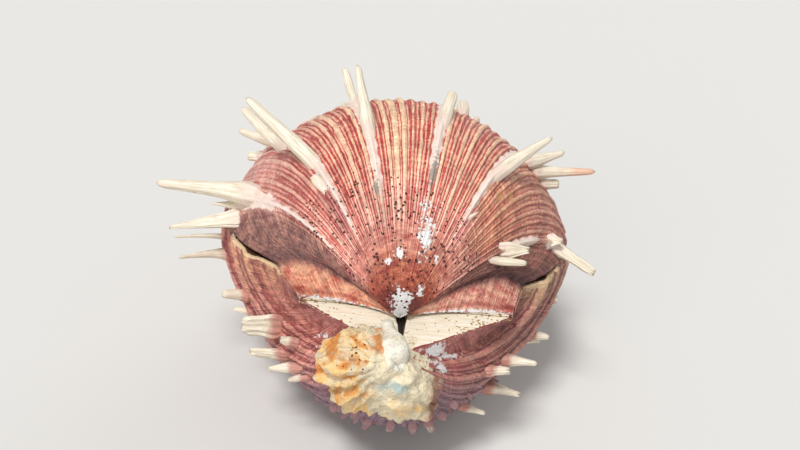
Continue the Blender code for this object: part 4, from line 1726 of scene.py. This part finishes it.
@dataclass(frozen=True)
class Studio:
    """A plain pale floor, soft lights and the camera where the shell was seen from."""

    floor_size: float = 40.0
    # How far the floor lies under the shell's flat feet, in millimetres
    floor_gap: float = 0.02
    floor_colour: str = "#d4d2ce"
    floor_roughness: float = 0.9
    surround_colour: str = "#f1f3f5"
    surround_strength: float = 0.38
    # The camera about the middle of the hinge line, in degrees and millimetres
    elevation: float = 33.6
    azimuth: float = -3.56
    roll: float = -6.77
    pan: float = 0.04
    tilt: float = -4.96
    distance: float = 240.9
    # The lens, in pixels of a frame 800 wide, on a sensor 36 mm wide
    focal_pixels: float = 945.9
    frame_width: float = 800.0
    sensor: float = 36.0

    def build(self) -> None:
        """Makes everything that isn't part of the shell."""
        self.build_floor()
        self.build_lights()
        self.build_camera()

    def build_floor(self) -> None:
        """Lays the floor under the shell."""
        bm = bmesh.new()
        bmesh.ops.create_grid(bm, x_segments=1, y_segments=1, size=self.floor_size / 2)
        material = Paint("matt pale floor").finish(linear(self.floor_colour), self.floor_roughness)
        floor = to_object(bm, "floor", [material])
        floor.location.z = -self.floor_gap * MM

    def build_lights(self) -> None:
        """Sets a soft light overhead, weaker ones in front and behind, and a pale surround."""
        lights = (
            ("overhead light", (-0.22, -0.36, 0.75), 16.0, 2.6),
            ("front light", (-0.40, -0.75, 0.30), 40.0, 0.9),
            ("back light", (0.45, 0.65, 0.45), 40.0, 0.6),
        )
        for name, direction, softness, power in lights:
            light = bpy.data.lights.new(name, "SUN")
            light.angle = math.radians(softness)
            light.energy = power
            lamp = bpy.data.objects.new(name, light)
            lamp.rotation_euler = (-Vector(direction)).to_track_quat("-Z", "Y").to_euler()
            bpy.context.scene.collection.objects.link(lamp)
        world = bpy.data.worlds.new("pale surround")
        world.use_nodes = True
        background = world.node_tree.nodes["Background"]
        background.inputs["Color"].default_value = linear(self.surround_colour)
        background.inputs["Strength"].default_value = self.surround_strength
        bpy.context.scene.world = world
        bpy.context.scene.view_settings.view_transform = "Standard"

    def build_camera(self) -> None:
        """Stands the camera at the photograph's viewing angle."""
        turn, rise = math.radians(self.azimuth), math.radians(self.elevation)
        back = Vector(
            (math.sin(turn) * math.cos(rise), -math.cos(turn) * math.cos(rise), math.sin(rise))
        )
        right = Vector((0, 0, 1)).cross(back).normalized()
        facing = Matrix((right, back.cross(right), back))
        roll = Matrix.Rotation(math.radians(self.roll), 3, "Z")
        pan = Matrix.Rotation(math.radians(self.pan), 3, "Y")
        tilt = Matrix.Rotation(math.radians(self.tilt), 3, "X")
        lens = bpy.data.cameras.new("camera")
        lens.sensor_width = self.sensor
        lens.lens = self.sensor * self.focal_pixels / self.frame_width
        lens.clip_start = 0.01
        camera = bpy.data.objects.new("camera", lens)
        turned = (tilt @ pan @ roll @ facing).transposed().to_4x4()
        place = (back * self.distance + Vector(HINGE_SEAT)) * MM
        camera.matrix_world = Matrix.Translation(place) @ turned
        bpy.context.scene.collection.objects.link(camera)
        bpy.context.scene.camera = camera


# Short names for the forms in the tables of spines. Each row gives a spine's place, turn, length,
# lean, side and width, and then its tip and flatness where they aren't the usual ones
G, S, L = SpineForm.GUTTERED, SpineForm.STUB, SpineForm.SCALE

UPPER_SPINES = (
    Spine(-0.169, 44.2, 17.0, 39, 6, 3.5, 0.55, form=G, root=12),
    Spine(-0.164, 25.0, 13.5, 30, 3, 2.4, 0.90, root=6),
    Spine(-0.193, 25.0, 3.0, 59, 7, 1.8, 0.8, form=S, root=3),
    Spine(0.110, 40.0, 11.0, 61, 2, 3.4, 0.85, root=14),
    Spine(0.163, 27.0, 4.8, 36, -24, 3.4, 0.95, form=S, root=5),
    Spine(0.204, 26.0, 2.6, 58, -5, 1.8, 0.8, form=S, root=3),
    Spine(-0.445, 49.5, 3.2, 59, -2, 2.8, 0.85, form=S, root=8),
    Spine(-0.409, 40.6, 23.8, 39, -4, 4.2, 0.62, form=G, root=8),
    Spine(-0.431, 22.5, 17.5, 34, 9, 3.3, 0.78, root=8),
    Spine(-0.369, 11.0, 12.6, 9, -28, 3.8, 0.60, 1.0),
    Spine(-0.412, 8.4, 5.2, 27, -30, 3.4, 0.85, 0.9, form=S, root=4),
    Spine(-0.610, 15.8, 26.0, 35, -10, 6.2, 0.43, 1.0, root=12, bend=0.8, blush=0.25),
    Spine(-0.630, 10.0, 8.5, 23, -11, 3.0, 0.30, 0.7, root=5),
    Spine(-0.667, 4.5, 18.2, 27, -12, 5.4, 0.30, 0.7, form=L, root=6),
    Spine(0.377, 40.5, 16.6, 35, 10, 3.9, 0.50, root=14),
    Spine(0.409, 40.7, 2.6, 50, -2, 1.2, 0.5, form=S, root=3),
    Spine(0.392, 61.1, 2.8, 36, 16, 1.0, 0.3, form=S, root=3),
    Spine(0.393, 19.0, 12.2, 18, 19, 4.2, 0.50, 1.0),
    Spine(0.414, 15.0, 18.4, 9, 35, 4.4, 0.42, 1.0, blush=1.0),
    Spine(0.450, 12.0, 5.4, 16, 23, 2.9, 0.9, 1.0, form=S, root=4),
    Spine(0.686, 47.7, 9.2, 50, 27, 2.2, 0.8, 1.0, root=5, bend=0.8),
    Spine(0.679, 42.2, 6.5, 37, 11, 4.4, 0.45, 0.45, form=L, root=6),
    Spine(0.668, 13.6, 4.2, -9, 13, 3.4, 0.5, 0.5, form=L, root=6),
    Spine(0.678, 8.5, 13.2, 34, 32, 3.2, 0.80, 0.9, form=L, root=6),
    Spine(-0.171, 11.0, 8.0, 48, 0, 2.8, form=G),
    Spine(0.103, 12.0, 9.0, 45, 0, 2.8, form=G),
    Spine(-0.060, 7.0, 5.5, 38, 0, 2.0),
    Spine(0.210, 8.0, 6.0, 38, 0, 2.0),
    Spine(-0.290, 7.5, 4.5, 42, 0, 2.0),
    Spine(0.372, 6.0, 8.0, 42, 0, 2.6, form=G),
)

LOWER_SPINES = (
    Spine(-0.630, 13.3, 16.0, 0, -22, 4.8, 0.30, 0.8, blush=0.3),
    Spine(-0.594, 9.0, 16.0, 1, -9, 2.4, 0.4, 0.8, root=6, blush=0.3),
    Spine(-0.677, 29.4, 8.0, 3, -24, 3.4, 0.65, 1.0),
    Spine(-0.756, 44.4, 9.6, 25, 13, 6.4, 0.80, 0.5, form=L),
    Spine(-0.733, 58.3, 4.4, 17, -13, 2.8, form=L, root=4, stain=0.2),
    Spine(-0.616, 58.0, 9.5, 25, -20, 3.2, 0.70, 0.8, form=L, stain=0.1),
    Spine(-0.580, 65.6, 8.0, 27, -16, 3.2, 0.5, stain=0.2),
    Spine(-0.529, 69.9, 5.4, 1, -26, 2.4, 0.5, root=4, stain=0.2),
    Spine(0.647, 22.1, 3.4, 28, 11, 2.6, 0.8, form=S, root=4),
    Spine(0.617, 36.6, 6.2, 20, 6, 3.0, 0.6),
    Spine(0.664, 52.4, 9.6, 14, 15, 3.6, 0.45),
    Spine(0.658, 62.5, 6.0, 27, 17, 3.0, 0.6, form=L, root=5),
    Spine(0.497, 59.7, 10.0, 17, 24, 3.6, 0.45, form=L, stain=0.2),
    Spine(0.390, 69.4, 7.6, 19, 30, 2.8, 0.5, stain=0.2),
    Spine(-0.328, 79.0, 2.6, 30, 18, 2.4, 0.6, form=L, root=3, stain=1.0),
    Spine(-0.245, 87.0, 2.4, 30, 14, 2.2, 0.6, form=L, root=3, stain=1.0),
    Spine(-0.124, 84.0, 3.0, 30, -4, 2.4, 0.6, form=L, root=3, stain=1.0),
    Spine(0.018, 86.0, 2.6, 30, -12, 2.4, 0.6, form=L, root=3, stain=1.0),
    Spine(0.149, 81.0, 3.2, 30, -10, 2.4, 0.6, form=L, root=3, stain=1.0),
    Spine(0.230, 77.0, 4.0, 30, -4, 2.6, 0.6, form=L, root=3, stain=0.7),
    Spine(0.339, 80.0, 2.8, 30, -8, 2.4, 0.6, form=L, root=3, stain=1.0),
    Spine(0.453, 80.0, 2.6, 30, -20, 2.2, 0.6, form=L, root=3, stain=1.0),
    Spine(-0.330, 9.0, 11.0, 28, 0, 3.0, 0.5, form=G),
    Spine(-0.120, 8.0, 9.0, 28, 0, 2.8, 0.5, form=G),
    Spine(0.100, 9.0, 12.0, 28, 0, 3.0, 0.5, form=G),
    Spine(0.330, 8.0, 10.0, 28, 0, 2.8, 0.5, form=G),
    Spine(0.500, 12.0, 7.0, 20, -10, 2.6, 0.5, form=G),
    Spine(-0.500, 36.0, 8.0, 30, -8, 3.0, 0.55),
    Spine(0.500, 38.0, 8.0, 30, 8, 3.0, 0.55),
    Spine(-0.220, 25.0, 7.0, 30, 0, 2.6, 0.55),
    Spine(0.220, 26.0, 7.0, 30, 0, 2.6, 0.55),
    Spine(-0.020, 21.0, 8.0, 30, 0, 2.8, 0.55),
    Spine(-0.155, 57.0, 6.6, 8, 0, 4.0, 0.8),
    Spine(0.160, 57.5, 6.8, 8, 0, 4.0, 0.8),
    Spine(-0.177, 31.8, 12.0, 0, 0, 4.2, 0.75),
    Spine(0.177, 31.8, 12.0, 0, 0, 4.2, 0.75),
)

# Half widths of the cream bands of the upper valve, crest by crest from left to right
UPPER_BANDS = (
    (0.2, 0.15, 0.2, 0.15, 0.2, 0.15, 0.2, 0.3, 0.15, 0.22, 0.14, 0.24, 0.16, 0.3)
    + (0.12, 0.15, 0.22, 0.33, 0.14, 0.24, 0.3, 0.12, 0.26, 0.38, 0.33, 0.13, 0.20, 0.12)
    + (0.3, 0.24, 0.14, 0.20, 0.27, 0.13, 0.22, 0.15, 0.3, 0.18, 0.24, 0.14, 0.22, 0.16)
    + (0.2, 0.14, 0.2, 0.3, 0.15, 0.2, 0.15, 0.2, 0.2)
)

# Each zone's place, turn, reach and span, and the colours of its crests and grooves
UPPER_ZONES = (
    ColourZone(-0.03, 45, 0.20, 30, "#f6d0aa", "#b83230"),
    ColourZone(-0.30, 45, 0.12, 25, "#f2c6a6", "#b03634"),
    ColourZone(-0.52, 42, 0.09, 20, "#dea690", "#a04642"),
    ColourZone(-0.50, 16, 0.12, 16, "#e8beae", "#c27a72"),
    ColourZone(-0.57, 56, 0.045, 13, "#f2c0a8", "#cc6a60"),
    # Painted shade: a dark purple patch just left of the second strong rib
    ColourZone(-0.45, 60, 0.035, 11, "#a86a62", "#642c36"),
    ColourZone(-0.76, 30, 0.08, 40, "#b48472", "#5e343a"),
    ColourZone(0.24, 45, 0.12, 30, "#f2c6a2", "#b23632"),
    ColourZone(0.50, 40, 0.10, 25, "#e6b48e", "#a0443a"),
    ColourZone(0.58, 20, 0.10, 15, "#d8a288", "#98564c"),
    ColourZone(0.39, 67, 0.022, 6, "#f4b4ac", "#e07c84"),
    ColourZone(0.77, 30, 0.07, 40, "#aa7664", "#5a3436"),
    # Painted shade: dark bands in the valleys between each flank and its ear
    ColourZone(-0.845, 45, 0.025, 60, "#7a4c4c", "#42262e"),
    ColourZone(0.845, 45, 0.03, 60, "#74484a", "#3e242c"),
    ColourZone(-0.94, 40, 0.05, 60, "#f4be96", "#c65e4e"),
    ColourZone(0.94, 40, 0.05, 60, "#f0c2a4", "#bf5c54"),
    ColourZone(-0.968, 30, 0.010, 60, "#b8503e", "#842a24"),
    ColourZone(0.968, 30, 0.010, 60, "#b04a40", "#802826"),
    ColourZone(0.00, 68, 0.50, 8, "#f0c8b4", "#be5048"),
    ColourZone(0.00, 78, 0.50, 6, "#e2ab92", "#a8403a"),
    ColourZone(0.12, 88, 0.60, 6, "#d07a4e", "#86241e"),
    ColourZone(0.00, 99, 1.00, 7, "#8c3024", "#4e1212"),
    ColourZone(0.00, 110, 1.00, 8, "#b07a6c", "#7a3634"),
)

LOWER_ZONES = (
    ColourZone(-0.70, 40, 0.20, 40, "#da9482", "#94463e"),
    ColourZone(-0.80, 10, 0.10, 14, "#dca878", "#a8685a"),
    ColourZone(0.70, 40, 0.20, 40, "#d29482", "#8a4844"),
    ColourZone(0.78, 8, 0.12, 9, "#dcb68c", "#b08268"),
    ColourZone(-0.86, 75, 0.10, 20, "#d08270", "#944440"),
    ColourZone(0.80, 82, 0.12, 20, "#da8876", "#984244"),
    ColourZone(0.00, 70, 0.45, 40, "#967480", "#664e5e"),
    ColourZone(0.00, 10, 0.60, 26, "#b87c70", "#784448"),
    ColourZone(-0.95, 50, 0.06, 60, "#c4807a", "#944a46"),
    ColourZone(0.95, 50, 0.06, 60, "#c4807a", "#944a46"),
)


def make_valves() -> tuple[UpperValve, LowerValve]:
    """Describes both valves, with the marks that each of them bears.

    Returns:
        The upper and the lower valve.
    """
    upper = UpperValve(
        node="upper_valve",
        spiral=GrowthSpiral(
            side=1, tightness=0.82, last_turn=113.8, beak_y=5.2, beak_z=0.35, shift_power=3.0,
            slump=0.016,
        ),
        ribs=Ribs(
            strong=(-0.627, -0.408, -0.171, 0.103, 0.372, 0.679), riblets=(6, 5, 6, 7, 7, 8, 4)
        ),
        skin=RibbedCalcite("wine red and cream ribbed calcite"),
        zones=UPPER_ZONES,
        spines=UPPER_SPINES,
        # Each patch's place, turn, reach, span and strength
        chalk=(
            Patch(0.16, 76.5, 0.060, 5.5, 0.95),
            Patch(0.10, 68.0, 0.045, 1.6, 0.8),
            Patch(-0.07, 83.3, 0.05, 1.8, 0.9),
            Patch(-0.20, 85.0, 0.06, 1.6, 0.8),
            Patch(0.32, 79.6, 0.05, 1.6, 0.8),
            Patch(0.05, 110.0, 1.30, 5.5, 1.4),
            Patch(0.00, 100.0, 0.28, 4.5, 1.0),
            Patch(0.385, 92.5, 0.12, 2.0, 0.9),
        ),
        grime=(Patch(0.108, 60.0, 0.021, 5.0, 1.0), Patch(-0.19, 63.7, 0.018, 2.2, 0.9)),
        ochre=(Patch(0.453, 46.2, 0.022, 1.8, 0.8), Patch(0.490, 41.2, 0.026, 1.8, 0.8)),
        # Each stretch's phase, first and last turn and fade, and its width and strength
        pale_ribs=(
            PaleRib(7, 12, 27, 5, 0.8),
            PaleRib(7, 27, 58, 8, 0.32, 0.9),
            PaleRib(13, 30, 47, 14, 0.6),
            PaleRib(13, 47, 66, 8, 0.42, 0.75),
            PaleRib(20, 24, 57, 14, 0.6),
            PaleRib(28, 24, 56, 8, 0.6),
            PaleRib(36, 16, 54, 16, 0.6),
            PaleRib(45, 4, 14, 6, 0.5, 0.9),
            PaleRib(45, 26, 42, 6, 0.5, 0.9),
        ),
        bands=UPPER_BANDS,
    )
    lower = LowerValve(
        node="lower_valve",
        spiral=GrowthSpiral(
            side=-1, tightness=0.78, last_turn=131.0, beak_y=17.0, beak_z=-2.1, shift_power=1.0
        ),
        ribs=Ribs(
            strong=(-0.64, -0.50, -0.33, -0.12, 0.10, 0.33, 0.50, 0.65),
            riblets=(2, 1, 2, 2, 2, 2, 2, 1, 2),
        ),
        skin=RibbedCalcite(
            "dusty purple ribbed calcite",
            line_colour="#6b3540",
            ochre_colour="#e4c49a",
            line_strength=0.5,
        ),
        zones=LOWER_ZONES,
        spines=LOWER_SPINES,
        chalk=(
            Patch(0.93, 86.0, 0.070, 9.0, 1.10),
            Patch(0.845, 74.0, 0.030, 6.0, 0.85),
            Patch(0.82, 95.0, 0.05, 6.0, 0.80),
            Patch(0.72, 90.0, 0.04, 4.0, 0.80),
            Patch(-0.86, 60.0, 0.03, 3.0, 0.60),
            Patch(-0.80, 70.0, 0.03, 3.0, 0.55),
        ),
        grime=(Patch(0.81, 68.0, 0.03, 7.0, 0.55),),
        ochre=(
            Patch(-0.85, 1.0, 0.040, 2.9, 1.15),
            Patch(-0.76, 0.5, 0.050, 2.2, 1.15),
            Patch(0.80, 2.0, 0.07, 4.0, 1.1),
        ),
        flank=0.3,
        per_rib=20,
        rows=138,
        skin_climb=1.6,
        hollow_depth=40.0,
    )
    return upper, lower


def main() -> None:
    """Builds the pieces in order, then the studio."""
    logging.basicConfig(level=logging.INFO, format="%(name)s: %(message)s")
    plate, lining = CardinalCalcite().material(), PorcelainCalcite().material()
    rosy = IvoryCalcite("rosy-rooted calcite spine", root_colour="#b2685c", root_strength=0.85)
    for valve, spines in zip(make_valves(), (IvoryCalcite(), rosy)):
        valve.build_spines(spines.material())
        valve.build_shell(plate, lining)
    bed = bpy.data.objects["lower_valve_shell"]
    HingeLigament().build()
    AttachmentCrust().build(bed)
    Studio().build()


if __name__ == "__main__":
    main()
